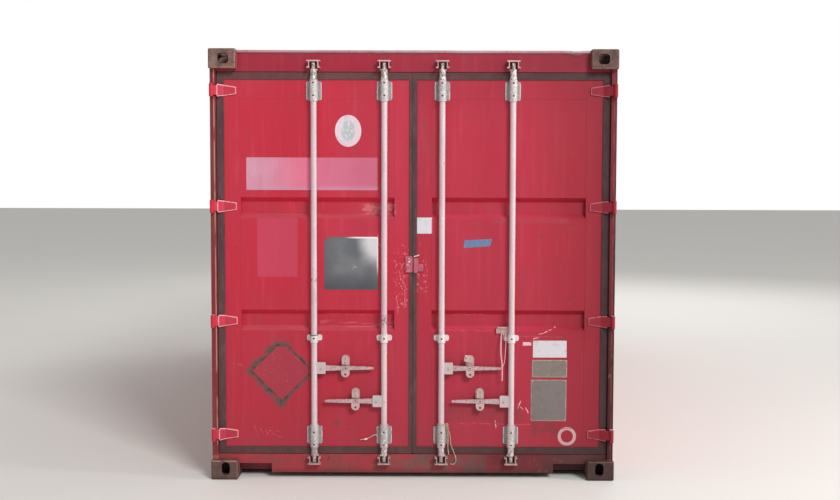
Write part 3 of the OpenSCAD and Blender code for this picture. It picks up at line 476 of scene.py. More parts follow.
    def weather(self, fresh, faded, pale, grime_top=0.6, grime=0.65):
        """Faded paint with run marks, fine dirt and grime near the ground."""
        self.start(self.cloud(0.9, 3, 0.35, 0.65), fresh, faded)
        self.blot(pale, 0.3, 0.035, 3, 0.5, 0.78, (1, 1, 14))
        self.blot(GRIME, 0.35, 0.05, 4, 0.56, 0.8, (1, 1, 9), 3.1)
        self.blot(pale, 0.18, 0.012, 6, 0.6, 0.75, shift=5.0)
        self.tint(GRIME, self.ramp(self.z, 0.05, grime_top, 1, 0),
                  self.cloud(0.16, 5, 0.3, 0.68, (1, 1, 0.7), 7.7), grime)

    def rust(self, share, size=0.03, shift=0.0):
        """Rust spots with dark middles. share is how much of the surface they take, about."""
        spots = self.noise(size, 7, (1, 1, 1.3), 11.0 + shift)
        patchy = self.cloud(size * 9, 3, 0.4, 0.62, shift=2.0 + shift)
        edge = 0.72 - 0.25 * share
        self.tint(RUST, self.ramp(spots, edge - 0.03, edge + 0.02), patchy, 0.85)
        self.tint(DARK_RUST, self.ramp(spots, edge + 0.03, edge + 0.07), patchy, 0.7)

    def chips(self, boxes, size, edge):
        """Chipped, pale spots inside some rectangles."""
        self.tint(CHIP, self.cloud(size, 5, edge, edge + 0.04, (1, 1, 1.8), 17.0),
                  self.patch(0.02, *boxes), 0.4)

    def scratches(self, lines, tone, strength):
        """Straight, broken scratches, each given by its two ends and its width."""
        for x0, z0, x1, z1, width in lines:
            length = math.hypot(x1 - x0, z1 - z0)
            ux, uz = (x1 - x0) / length, (z1 - z0) / length
            dx, dz = self.minus(self.x, x0 / 1000), self.minus(self.z, z0 / 1000)
            along = self.plus(self.times(dx, ux), self.times(dz, uz))
            aside = self.minus(self.times(dz, ux), self.times(dx, uz))
            wave = self.times(self.minus(self.noise(0.04, 2, shift=x0), 0.5), 0.02)
            self.tint(tone, self.band(along, 0, length / 1000, 0.01),
                      self.ramp(self.size(self.plus(aside, wave)), width / 2000, width / 1000, 1, 0),
                      self.cloud(0.02, 3, 0.38, 0.55, shift=z0), strength)

    def fold_slopes(self, fresh, upward_tone):
        """Lighter paint on the folds' down-facing upper slopes, as painted light in their shade, and a
        paler tone on their up-facing lower ones.
        """
        # Painted light: lightens the down-facing upper slopes, which lie in shade.
        self.fade(fresh, self.face_z, -0.6, -0.3, 0.6, 0)
        self.fade(upward_tone, self.face_z, 0.3, 0.6, 0, 0.55)

    def paint_rough(self, low=0.36, high=0.58):
        return self.rough(0.12, 5, low, high, (1, 1, 2), 9.0)

    def painted(self, dent=2.5, low=0.36, high=0.58):
        """Ends a sheet's paint with dents and the paint's fine skin."""
        return self.done(self.paint_rough(low, high), (self.noise(0.42, 2), dent * 1.6),
                         (self.noise(0.09, 3, shift=4.0), 0.45), (self.noise(0.004, 3), 0.04))


def add_diamond(look):
    """Where a square label on its corner was scraped off: dull inside, dark smudges all round."""
    across = look.minus(look.x, DIAMOND_X)
    above = look.minus(look.z, DIAMOND_Z)
    reach = look.plus(look.times(look.size(across), 1 / DIAMOND_WIDE),
                      look.times(look.size(above), 1 / DIAMOND_HIGH))
    reach = look.either(reach, look.times(above, 1 / DIAMOND_CUT))
    inside = look.ramp(reach, 0.97, 1.0, 1, 0)
    look.tint((152, 58, 72), inside, 0.6)
    look.tint((206, 140, 146), look.cloud(0.012, 5, 0.62, 0.7, shift=9.0), inside, 0.18)
    wobble = look.times(look.minus(look.noise(0.07, 4, shift=6.0), 0.5), 0.6)
    width = look.ramp(across, -0.06, 0.10, 0.44, 0.22)
    spread = look.calc("DIVIDE", look.minus(look.plus(reach, wobble), 1.0), width)
    blotch = look.ramp(look.noise(0.05, 5, shift=8.0), 0.32, 0.5, 0.45, 1)
    look.tint((86, 74, 72), look.ramp(reach, 0.975, 1.0), look.ramp(spread, 0.3, 1.0, 1, 0), blotch, 0.9)
    look.tint((56, 46, 44), look.ramp(reach, 0.985, 1.0), look.ramp(spread, 0.1, 0.5, 1, 0),
              look.cloud(0.03, 4, 0.42, 0.56, shift=5.0), 0.7)


def left_door_paint():
    """The left leaf. Its marks are on the faces that look to the rear only."""
    look = Finish("left_door_paint")
    look.weather((182, 38, 58), (178, 47, 66), (192, 76, 92), 0.5, 0.5)
    # Painted shade: darker towards the bottom.
    look.fade((152, 43, 57), look.z, 0.2, 1.5, 0.5, 0)
    # Painted light in the folds' shaded upper slopes, and a paler tone on their lower ones.
    look.fold_slopes((216, 38, 63), (184, 82, 94))
    plain = look.colour
    look.tint((188, 64, 88), look.patch(0.01, REPAINT), 0.8)
    look.tint((202, 116, 122), look.patch(0.012, WIPED),
              look.cloud(0.024, 5, 0.38, 0.52, (1.5, 1, 1)), 0.65)
    look.tint((206, 112, 124), look.patch(0.01, RUBBED),
              look.cloud(0.02, 4, 0.52, 0.62, (7, 1, 0.6), 3.0), 0.4)
    add_diamond(look)
    look.tint((112, 60, 58), look.patch(0.014, SMUDGE), look.cloud(0.02, 4, 0.38, 0.55), 0.7)
    look.chips(LEFT_CHIPS, 0.012, 0.58)
    look.scratches(LEFT_SCRAPES, (216, 132, 142), 0.5)
    look.scratches(LEFT_LINES, (206, 104, 116), 0.5)
    look.turned(look.face_y, -0.3, -0.1, plain)
    look.rust(0.1)
    return look.painted()


def right_door_paint():
    """The right leaf, with painted shade darkening it towards its hinges and towards the bottom, and its
    marks on the rear faces only.
    """
    look = Finish("right_door_paint")
    look.weather((175, 39, 58), (169, 43, 63), (186, 70, 87), 0.5, 0.5)
    # Painted shade: darker towards the bottom.
    look.fade((154, 44, 59), look.z, 0.2, 1.4, 0.5, 0)
    look.fade((146, 34, 50), look.z, 2.1, 2.4, 0, 0.35)
    # Painted light in the folds' shaded upper slopes, and a paler tone on their lower ones.
    look.fold_slopes((194, 32, 54), (196, 64, 88))
    # Painted shade: darker towards the hinges on the right.
    look.fade((122, 26, 38), look.x, 0.5, 1.15, 0, 0.7)
    plain = look.colour
    look.chips(RIGHT_CHIPS, 0.011, 0.57)
    look.tint((226, 190, 194), look.patch(0.003, SMEAR), look.cloud(0.02, 4, 0.3, 0.42), 0.8)
    look.tint((112, 50, 52), look.patch(0.02, STAIN), look.cloud(0.04, 5, 0.4, 0.6, (1, 1, 1.6), 2.0), 0.6)
    look.scratches(RIGHT_SCRAPES, (230, 176, 180), 0.8)
    look.scratches(RIGHT_LINES, (196, 92, 106), 0.55)
    look.tint((132, 54, 60), look.patch(0.05, DULL), look.noise(0.12, 5, (3, 1, 1), 4.0))
    look.tint((150, 70, 80), look.patch(0.006, OLD_LABEL), 0.25)
    look.turned(look.face_y, -0.3, -0.1, plain)
    look.rust(0.1, shift=1.0)
    return look.painted()


def hinge_paint():
    """Hinge blades: brighter paint rubbed pale along every edge, a painted highlight on their up-facing
    faces, and painted shade darker towards the bottom and the right.
    """
    look = Finish("hinge_paint")
    look.weather((186, 50, 70), (176, 48, 68), (200, 86, 100), 0.4, 0.3)
    out = look.size(look.x)
    look.fade((192, 28, 44), out, 1.180, 1.188, 0, 0.6)
    away = look.nearest(look.z, [height - 1 for height in HINGE_HEIGHTS])
    half = look.plus(look.times(look.minus(out, 1.061), 0.148), 0.0215)
    long_edges = look.times(look.ramp(look.minus(away, half), -0.0056, -0.0044),
                            look.ramp(out, 1.172, 1.176, 1, 0))
    left = look.ramp(look.x, -0.3, 0.3, 1, 0)
    short_edges = look.either(look.ramp(out, 1.0650, 1.0665, 1, 0),
                              look.times(look.band(out, 1.1685, 1.1725, 0.001), left))
    # Painted highlight: the blades' up-facing faces are paled as if lit from above.
    upper = look.ramp(look.face_z, 0.5, 0.8)
    # worn is real wear along the edges together with the painted highlight on the tops.
    worn = look.times(look.either(long_edges, look.times(short_edges, 0.9), upper),
                      look.cloud(0.014, 4, 0.32, 0.44), look.either(left, look.times(upper, 0.9), 0.3))
    # Painted shade: darker towards the bottom and towards the right.
    look.fade((152, 44, 58), look.z, 0.2, 1.3, 0.5, 0)
    look.fade((122, 26, 38), look.x, -1.0, 1.0, 0, 0.8)
    look.tint((236, 168, 174), worn, 0.8)
    look.rust(0.15, 0.015)
    return look.done(look.paint_rough(), (look.noise(0.01, 4), 0.3))


def post_paint():
    """Posts: paint going to rust in long strips, with one pale line down each, and painted shade darkening
    them towards the right.
    """
    look = Finish("post_paint")
    look.weather((118, 38, 45), (110, 38, 43), (136, 64, 62), 0.7, 0.2)
    look.blot((112, 60, 50), 0.6, 0.018, 5, 0.48, 0.62, (1, 1, 16), 1.0)
    look.blot((150, 78, 64), 0.3, 0.01, 4, 0.6, 0.68, (1, 1, 10), 2.0)
    look.tint((156, 88, 62), look.ramp(look.z, 0.136, 0.146, 1, 0), look.noise(0.03, 4), 1.5)
    # Painted shade: darker towards the right.
    look.fade((86, 18, 32), look.x, -1.2, 1.2, 0, 0.7)
    right = look.ramp(look.x, -0.3, 0.3)
    # Painted shade: the right post darker still low down.
    look.tint((48, 16, 20), right, look.ramp(look.z, 0.6, 1.6, 0.85, 0))
    rear = look.ramp(look.face_y, -0.7, -0.4, 1, 0)
    out = look.size(look.x)
    leaning = look.minus(out, look.times(look.z, 0.0035))
    look.tint((196, 142, 134), look.band(leaning, 1.1805, 1.1855, 0.0015),
              look.ramp(look.x, -0.3, 0.3, 1, 0), rear, look.cloud(0.03, 4, 0.34, 0.5, (1, 1, 6), 5.0), 0.7)
    look.tint((138, 56, 56), look.band(out, 1.197, 1.2035, 0.002), right, rear,
              look.cloud(0.02, 4, 0.42, 0.52, (1, 1, 7), 5.0), 0.6)
    look.tint((38, 24, 24), look.ramp(out, 1.203, 1.207), right, look.ramp(look.z, 1.8, 2.0, 1, 0),
              look.cloud(0.022, 5, 0.48, 0.54, (1, 1, 7), 6.0),
              look.ramp(look.face_y, -0.7, -0.4, 1, 0.25), 0.85)
    look.rust(0.25, 0.02)
    return look.done(look.paint_rough(0.45, 0.7), (look.noise(0.03, 5, (1, 1, 3)), 0.7),
                     (look.noise(0.3, 2), 1.5))


def header_paint():
    """The header, with drips under its upper edge, and painted shade darkening it towards the right."""
    look = Finish("header_paint")
    look.weather((152, 30, 50), (148, 34, 54), (172, 66, 78))
    look.tint((100, 42, 48), look.cloud(0.02, 4, 0.55, 0.7, (1, 1, 5), 8.0),
              look.ramp(look.z, 2.5, 2.58, 0.2, 0.9), 0.5)
    # Painted shade: darker towards the right.
    look.fade((98, 26, 40), look.x, 0.1, 1.0, 0, 0.4)
    look.rust(0.2, 0.025)
    return look.painted(2.0)


def sill_paint():
    """The sill, with mud, scrapes and grey stains, painted shade darkening it towards the right, and greyer
    at its right end.
    """
    look = Finish("sill_paint")
    look.start(look.cloud(0.25, 5, 0.38, 0.62), (160, 52, 60), (142, 56, 60))
    look.blot((106, 66, 62), 0.5, 0.09, 6, 0.45, 0.66, (1.4, 1, 0.8), 3.0)
    stains = look.either(*[look.patch(soft, box) for box, soft in SILL_STAINS])
    look.tint((108, 82, 80), stains, look.cloud(0.05, 4, 0.34, 0.5), 0.7)
    look.tint((84, 44, 44), look.ramp(look.z, 0.034, 0.075, 1, 0), 0.6)
    # Painted shade: darker towards the right.
    look.fade((40, 32, 36), look.x, -0.1, 0.9, 0, 0.74)
    look.fade((58, 52, 54), look.x, 0.75, 0.95, 0, 0.3)
    look.tint((102, 33, 41), look.patch(0.03, SILL_RED), look.cloud(0.04, 4, 0.4, 0.55), 0.6)
    look.rust(0.3)
    return look.painted(2.0, 0.5, 0.75)


def rail_paint():
    """Rails and front posts: the walls' paint with more rust."""
    look = Finish("rail_paint")
    look.weather((150, 40, 54), (142, 44, 58), (170, 80, 88), 0.5, 0.6)
    look.rust(0.32)
    return look.painted(1.5)


def wall_paint(name, axis, sign):
    """Folded sheet: red on the side that faces that way along the axis, pale grey on the other."""
    look = Finish(name)
    look.weather((162, 40, 54), (168, 50, 64), (188, 88, 98), 0.7)
    look.tint((200, 128, 132), look.cloud(0.05, 5, 0.62, 0.69, (9, 9, 0.4), 4.0),
              look.cloud(1.1, 2, 0.52, 0.64, (1, 1, 0.7), 6.0), 0.4)
    look.rust(0.22, 0.035)
    outer = look.colour
    look.start(look.noise(0.6, 4), (186, 184, 176), (170, 168, 162))
    look.blot((128, 116, 104), 0.5, 0.06, 6, 0.55, 0.7, (4, 4, 0.8), 2.0)
    look.tint((120, 98, 80), look.ramp(look.z, 0.17, 0.6, 1, 0), look.noise(0.1, 5), 0.7)
    look.rust(0.1, shift=4.0)
    look.turned(look.times((look.face_x, look.face_y)[axis], sign), -0.02, 0.02, outer)
    return look.painted(3.5)


def roof_paint():
    """Roof: bleached and dusty outside, grey inside."""
    look = Finish("roof_paint")
    look.start(look.cloud(0.8, 4, 0.35, 0.65), (170, 84, 90), (186, 118, 118))
    look.blot((164, 136, 126), 0.45, 0.2, 6, 0.4, 0.66, shift=3.0)
    look.tint((124, 92, 84), look.ramp(look.z, 2.566, 2.582, 1, 0), 0.5)
    look.rust(0.4, 0.04)
    outer = look.colour
    look.start(look.noise(0.6, 4), (186, 184, 176), (172, 170, 164))
    look.rust(0.1, shift=4.0)
    look.turned(look.face_z, -0.02, 0.02, outer)
    return look.painted(4.0, 0.5, 0.75)


def under_coat():
    """Underside steel: dark coating, road dust and rust."""
    look = Finish("under_coat")
    look.start(look.noise(0.3, 5), (60, 48, 46), (84, 64, 58))
    look.rust(0.6, 0.04)
    return look.done(0.78, (look.noise(0.02, 5), 0.6))


def casting_steel():
    """Cast corner fittings: paint worn to brown rust, rough skin, rubbed edges, and painted shade darkening
    them towards the right.
    """
    look = Finish("casting_steel")
    look.start(look.cloud(0.06, 6, 0.36, 0.64), (126, 99, 91), (96, 72, 66))
    look.blot((140, 70, 68), 0.5, 0.05, 5, 0.58, 0.68, shift=4.0)
    look.blot((166, 124, 104), 0.4, 0.014, 5, 0.58, 0.68, shift=6.0)
    look.fade((64, 46, 42), look.z, 0.1, 2.4, 0.6, 0)
    out = look.size(look.x)
    inner = look.times(look.ramp(out, 1.0605, 1.0665, 1, 0), look.ramp(look.z, 2.4, 2.45, 0.4, 1))
    under = look.times(look.band(look.z, 2.47, 2.4795, 0.002), look.ramp(out, 1.19, 1.2, 1, 0))
    over = look.band(look.z, 0.112, 0.12, 0.002)
    look.tint((180, 130, 116), look.either(inner, under, over),
              look.ramp(look.y, -3.0255, -3.0245, 1, 0), look.cloud(0.03, 4, 0.36, 0.5, shift=3.0), 0.6)
    # Painted shade: darker towards the right, and more on the low right fitting.
    look.tint((46, 30, 30), look.plus(look.ramp(look.x, -1.2, 1.2, 0, 0.45),
                                      look.times(look.patch(0.01, LOW_RIGHT_FITTING_SHADE), 0.25)))
    return look.done(look.rough(0.03, 4, 0.55, 0.8), (look.noise(0.008, 6), 0.9),
                     (look.noise(0.04, 3), 1.2))


def zinc(name, base, dull, grime_top=0.0, metallic=0.25):
    """Zinc on steel: pale, faintly spangled, with dust and white rust."""
    look = Finish(name, metallic, 0.4)
    spangle = look.add("TexVoronoi")
    spangle.inputs["Scale"].default_value = 110.0
    look.tree.links.new(look.where, spangle.inputs["Vector"])
    look.start(look.times(look.split(spangle.outputs["Color"])[0], 0.35), base, dull)
    look.blot(dull, 0.55, 0.05, 5, 0.42, 0.68, (1, 1, 5))
    look.blot((200, 150, 152), 0.3, 0.012, 4, 0.6, 0.72, (1, 1, 12), 6.0)
    look.blot((128, 94, 84), 0.6, 0.016, 6, 0.68, 0.74, (1, 1, 2), 2.0)
    if grime_top:
        look.tint((124, 106, 98), look.ramp(look.z, 0.08, grime_top, 1, 0),
                  look.cloud(0.03, 5, 0.35, 0.62, (1, 1, 2), 8.0), 0.5)
    return look


def zinc_done(look, smoothest=0.36, fine=0.05, coarse=0.2, coarse_size=0.03):
    """Ends a zinc material with its roughness and its fine and coarse unevenness."""
    return look.done(look.rough(0.02, 5, smoothest, smoothest + 0.22), (look.noise(0.004, 4), fine),
                     (look.noise(coarse_size, 3), coarse))


def off_rod(look):
    """How far a point is from the nearest rod's axis, to the side."""
    return look.nearest(look.size(look.x), (OUTER_ROD_X, INNER_ROD_X))


def rod_zinc():
    """Lock rods: pale zinc, mottled grey at both ends, with two scuffed places."""
    look = zinc("rod_zinc", (206, 186, 190), (186, 160, 166), 0.3, 0.2)
    look.fade((182, 169, 168), off_rod(look), 0.0183, 0.0203, 0, 0.75)
    for box in ROD_SCUFFS:
        look.tint((112, 76, 76), look.patch(0.006, box), look.cloud(0.012, 4, 0.48, 0.56, (2, 1, 0.8), 3.0),
                  0.7)
    mottled = look.mix(look.cloud(0.013, 3, 0.42, 0.58, (1, 1, 1.4), 2.0), (116, 110, 106),
                       (206, 200, 196))
    look.tint(mottled, look.either(look.ramp(look.z, 2.404, 2.408, 0, 0.85),
                                   look.ramp(look.z, 0.19, 0.2, 0.65, 0)))
    return zinc_done(look)


def handle_zinc():
    """Handles: zinc, with paint and dirt rubbed on."""
    look = zinc("handle_zinc", (192, 170, 172), (146, 120, 122))
    look.blot((150, 84, 88), 0.45, 0.012, 5, 0.5, 0.6, (1.6, 1, 0.7), 3.0)
    return zinc_done(look, 0.38, 0.06, 0.3, 0.02)


def bracket_zinc():
    """Rod brackets: pale barrels, greyer feet whose side edges are rubbed pale."""
    look = zinc("bracket_zinc", (184, 179, 178), (160, 153, 152), 0.35, 0.2)
    look.blot((228, 222, 220), 0.6, 0.009, 4, 0.54, 0.62, (1, 1, 1.5), 5.0)
    away = off_rod(look)
    middle = look.band(look.z, 0.80, 0.92, 0.02)
    grey = look.mix(look.cloud(0.02, 4, 0.4, 0.6), (146, 142, 144), (130, 125, 126))
    look.tint(grey, look.ramp(away, 0.0225, 0.0245), look.ramp(middle, 0, 1, 1, 0.3), 0.9)
    look.tint((226, 214, 214), middle, 0.6)
    look.tint((214, 196, 196), look.ramp(away, 0.0395, 0.0415), look.cloud(0.02, 3, 0.36, 0.48), 0.7)
    return zinc_done(look, 0.38, 0.06, 0.3)


def gasket_rubber():
    """Door gaskets: rubber brown with dust, red where paint got on its rim, and painted shade darkening
    them towards the right.
    """
    look = Finish("gasket_rubber", specular=0.3)
    look.start(look.cloud(0.06, 5, 0.35, 0.65, (1, 1, 3)), (90, 60, 62), (76, 52, 54))
    look.blot((116, 88, 84), 0.35, 0.02, 5, 0.5, 0.7, (1, 1, 4), 3.0)
    look.fade((97, 63, 60), look.z, 2.38, 2.42, 0, 0.5)
    rim = look.either(look.ramp(look.size(look.x), 1.171, 1.174), look.ramp(look.z, 2.447, 2.450),
                      look.ramp(look.z, 0.155, 0.158, 1, 0))
    look.tint((110, 58, 58), rim, 0.6)
    look.fade((80, 52, 48), look.z, 0.14, 0.4, 0.5, 0)
    # Painted shade: darker towards the right.
    look.fade((50, 32, 36), look.x, -0.3, 1.2, 0.1, 0.78)
    return look.done(look.rough(0.05, 4, 0.6, 0.8), (look.noise(0.01, 5), 0.25))


def floor_timber():
    """Plywood boards, worn and oil-marked."""
    look = Finish("floor_timber", specular=0.3)
    look.start(look.cloud(0.02, 6, 0.35, 0.65, (1, 22, 1)), (146, 106, 72), (118, 82, 54))
    look.tint((96, 72, 54), look.noise(0.5, 4, (1, 3, 1), 2.0), 0.5)
    look.blot((58, 48, 42), 0.55, 0.12, 6, 0.58, 0.7, (0.6, 5, 1), 6.0)
    return look.done(look.rough(0.06, 4, 0.5, 0.75), (look.noise(0.004, 5, (1, 30, 1)), 0.3))


def hemp_rope():
    """Old rope: beige strands, greyed by weather."""
    look = Finish("hemp_rope", specular=0.2)
    look.shader.inputs["Sheen Weight"].default_value = 0.25
    look.start(look.cloud(0.004, 4, 0.35, 0.65), (190, 164, 138), (142, 118, 98))
    look.blot((112, 92, 80), 0.55, 0.03, 4, 0.48, 0.65, shift=3.0)
    return look.done(0.9, (look.noise(0.0012, 3), 0.4))


def sheet(name, base, worn, dirt, worn_share=0.3, rough=0.5, metallic=0.0):
    """Label, tape or thin plate: base colour rubbed to worn, with a film of dirt."""
    look = Finish(name, metallic)
    look.start(look.noise(0.2, 4), base, tuple(0.93 * c for c in base))
    edge = 0.66 - 0.22 * worn_share
    look.blot(worn, 0.8, 0.018, 6, edge, edge + 0.08, shift=4.0)
    look.blot(dirt, 0.45, 0.04, 5, 0.5, 0.75, shift=1.0)
    return look.done(rough, (look.noise(0.006, 4), 0.08))


def two_tone(name, a, b, size, rough, detail=4, stretch=EVEN, metallic=0.0, specular=0.25):
    """Two near tones that drift into each other."""
    look = Finish(name, metallic, specular)
    look.start(look.noise(size, detail, stretch), a, b)
    return look.done(rough)


def pink_field_paint():
    """The pale painted field on the left leaf, lilac towards its left end. It is left blank."""
    look = Finish("pink_field")
    look.start(look.ramp(look.x, -0.64, -0.52), (218, 112, 139), (197, 102, 129))
    look.fade((192, 97, 122), look.x, -0.42, -0.3)
    look.fade((197, 144, 164), look.x, -0.98, -0.62, 1, 0)
    look.blot((196, 108, 134), 0.35, 0.12, 4, 0.4, 0.66)
    look.tint((188, 138, 162), look.ramp(look.z, 1.75, 1.79, 1, 0), 0.7)
    look.blot((190, 84, 106), 0.25, 0.02, 4, 0.55, 0.7, (1, 1, 10), 2.0)
    return look.done(0.5, (look.noise(0.42, 2), 4.0), (look.noise(0.004, 3), 0.04))


def grey_field_paint():
    """The grey field on the left leaf: dull, bleached to white at its upper right."""
    look = Finish("grey_field", specular=0.4)
    look.start(look.cloud(0.14, 4, 0.35, 0.65), (92, 95, 100), (108, 109, 112))
    look.fade((78, 76, 84), look.x, -0.54, -0.42, 0.6, 0)
    look.fade((58, 57, 64), look.z, 1.15, 1.28, 0.7, 0)
    corner = look.times(look.ramp(look.x, -0.40, -0.205), look.ramp(look.z, 1.21, 1.46))
    uneven = look.times(look.minus(look.noise(0.06, 5), 0.5), 0.2)
    look.fade((228, 224, 226), look.plus(corner, uneven), 0.12, 0.8, 0, 0.74)
    edge = look.times(look.ramp(look.x, -0.222, -0.214), look.ramp(look.z, 1.22, 1.32))
    rim = look.times(look.ramp(look.z, 1.459, 1.466), look.ramp(look.x, -0.42, -0.33))
    look.tint((250, 238, 242), look.either(edge, rim), 0.85)
    look.scratches(GREY_SCRAPES, (190, 188, 180), 0.6)
    return look.done(look.rough(0.06, 4, 0.36, 0.5), (look.noise(0.12, 3), 1.2))


def roof_edge_paint():
    """The roof's front edge: pink-white, partly paint rubbed off and partly a painted highlight on the lit
    edge, with rust spots and a painted shadow along its lower edge.
    """
    look = Finish("edge_paint")
    # Pale pink-white: rubbed paint together with a painted highlight on the lit edge.
    look.start(look.cloud(0.3, 4, 0.38, 0.62), (162, 118, 128), (174, 141, 151))
    look.fade((176, 122, 122), look.x, -0.85, -0.6, 0.75, 0)
    look.blot((176, 84, 92), 0.6, 0.03, 6, 0.56, 0.66, (2, 1, 1), 2.0)
    # Painted shadow: dark along the lower edge, under the lip.
    look.tint((104, 50, 56), look.ramp(look.z, 2.569, 2.575, 1, 0), 0.8)
    look.rust(0.3, 0.02)
    return look.done(0.5, (look.noise(0.03, 4), 0.6))


def dress_nodes():
    """Gives each CAD node its material, and returns those that added pieces share."""
    paints = {"left": left_door_paint(), "right": right_door_paint(), "rod": rod_zinc(),
              "small": zinc_done(zinc("fitting_zinc", (196, 166, 162), (156, 130, 126), 0.3)),
              "rubber": gasket_rubber(), "rail": rail_paint(), "rope": hemp_rope()}
    groups = (
        (casting_steel(), "corner_fittings_bottom corner_fittings_top"),
        (post_paint(), "rear_posts"),
        (hinge_paint(), "hinge_lugs left_door_hinges right_door_hinges"),
        (header_paint(), "door_header"),
        (sill_paint(), "door_sill"),
        (wall_paint("left_wall_paint", 0, -1), "left_side_wall"),
        (wall_paint("right_wall_paint", 0, 1), "right_side_wall"),
        (wall_paint("front_wall_paint", 1, 1), "front_wall"),
        (roof_paint(), "roof_panel"),
        (floor_timber(), "floor_boards"),
        (under_coat(), "cross_members fork_pockets"),
        (bracket_zinc(), "left_door_brackets right_door_brackets"),
        (handle_zinc(), " ".join(name + "_handle" for name, rod_x in RODS)),
        (paints["rod"], " ".join(name + "_rod" for name, rod_x in RODS)),
        (paints["small"], " ".join(name + "_catch" for name, rod_x in RODS)),
        (paints["small"], "header_keepers sill_keepers left_door_retainers right_door_retainers"),
        (paints["left"], "left_door_frame left_door_panel"),
        (paints["right"], "right_door_frame right_door_panel"),
        (paints["rubber"], "left_door_gasket right_door_gasket"),
        (paints["rail"], "front_posts front_top_rail front_bottom_rail roof_side_rails"),
        (paints["rail"], "bottom_side_rails wall_vents"),
        (paints["rope"], "rope_knot rope_long_end rope_short_end"),
    )
    finishes = {node: material for material, nodes in groups for node in nodes.split()}
    for name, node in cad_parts.items():
        for slot in node.material_slots:
            slot.material = finishes[name]
    return paints


# Rope

ROPE_R = 3.5
ROPE_LONG = 0.262
ROPE_SHORT = 0.170
LONG_END = ((39, 50, 313), (43, 52, 297), (49, 53, 281), (54, 54, 265), (56, 54, 248),
            (56, 54, 231), (58, 54, 214), (62, 54, 198), (68, 54, 183), (74, 54, 168),
            (80, 54, 152), (86, 54, 136), (90, 54, 120), (89, 53, 104), (81, 53, 91),
            (68, 53, 86), (56, 53, 92))
SHORT_END = ((30, 49, 312.5), (34, 52, 297), (38, 54, 281), (40, 54, 264), (41, 54, 247),
             (41, 54, 230), (41, 54, 213), (41, 54, 196), (42, 54, 179), (44, 54, 162),
             (46, 54, 146))
KNOT = (32.0, 46.0, 330.5)
LOOP_R = 22.0
LOOP_Z = 338.8


def strands(a, run):
    """Three strands laid together, one turn in 30 mm."""
    return ROPE_R / 1000 * (0.94 + 0.1 * math.cos(3 * (a - run / 0.030 * 2 * math.pi)))


def make_rope(material):
    """Two hanging ends, and the knot and loop that hold them to the right inner rod."""
    ends = (("rope_long", LONG_END, ROPE_LONG, "rope_long_end"),
            ("rope_short", SHORT_END, ROPE_SHORT, "rope_short_end"))
    for name, points, length, node in ends:
        path = smooth_path([(INNER_ROD_X + x, d, z) for x, d, z in points], 8)
        piece = Shape().tube(path, strands, 18).done(name, material, RIGHT)
        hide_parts(node)
    knot = []
    for t in turns(96):
        reach = 6.0 + 2.9 * math.cos(3 * t)
        knot.append(spot(INNER_ROD_X + KNOT[0] + reach * math.cos(2 * t), KNOT[1] + 3.4 * math.sin(3 * t),
                         KNOT[2] + 1.3 * reach * math.sin(2 * t)))
    shape = Shape().tube(knot, strands, 14, closed=True)
    shape.tube(round_rod(INNER_ROD_X, LOOP_R, LOOP_Z, 64, 1.5, 0.6), strands, 14, closed=True)
    piece = shape.done("rope_tie", material, RIGHT)
    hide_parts("rope_knot")


# Pieces on the doors

# Sheets: x from and to, z from and to
PINK_FIELD = (-1003, -215, 1752, 1947)
GREY_FIELD = (-537, -211, 1151, 1471)
SMALL_LABEL = (20, 114, 1492, 1589)
LONG_LABEL = (728, 932, 742, 845)
UPPER_PLATE = (723, 936, 621, 727)
LOWER_PLATE = (718, 933, 353, 606)
PLATE_RIM = 4
RIVET_IN = 10

# Round sheets: x and z of the middle, half the width and half the height
OVAL = (-391, 2107, 79, 95)
OVAL_FIELD = (-391, 2107, 41, 62)
RING = (939, 259, 56, 57)
RING_OPENING = (939, 259, 37, 38)

# The tape's corners
BLUE_TAPE = ((304, 1406), (464, 1417), (476, 1461), (310, 1452))


def decal(name, outline, material, body, thick, depth=LEAF):
    """A thin sheet stuck on a leaf's face."""
    Shape().prism(outline, depth + 0.6, depth - thick).done(name, material, body, smooth=False)


def make_left_marks():
    """The painted fields and the oval sticker on the left leaf."""
    white = sheet("sticker_white", (221, 202, 212), (206, 160, 168), (190, 160, 160), 0.2)
    field = sheet("sticker_grey", (180, 187, 190), (214, 208, 212), (160, 160, 160), 0.6)
    decal("pink_field", rounded(*PINK_FIELD, 3), pink_field_paint(), LEFT, 0.4)
    decal("oval_sticker", ellipse(*OVAL), white, LEFT, 0.6)
    decal("oval_sticker_field", ellipse(*OVAL_FIELD), field, LEFT, 0.5, LEAF - 0.6)
    decal("grey_field", rounded(*GREY_FIELD, (3, 3, 4, 42)), grey_field_paint(), LEFT, 0.8)


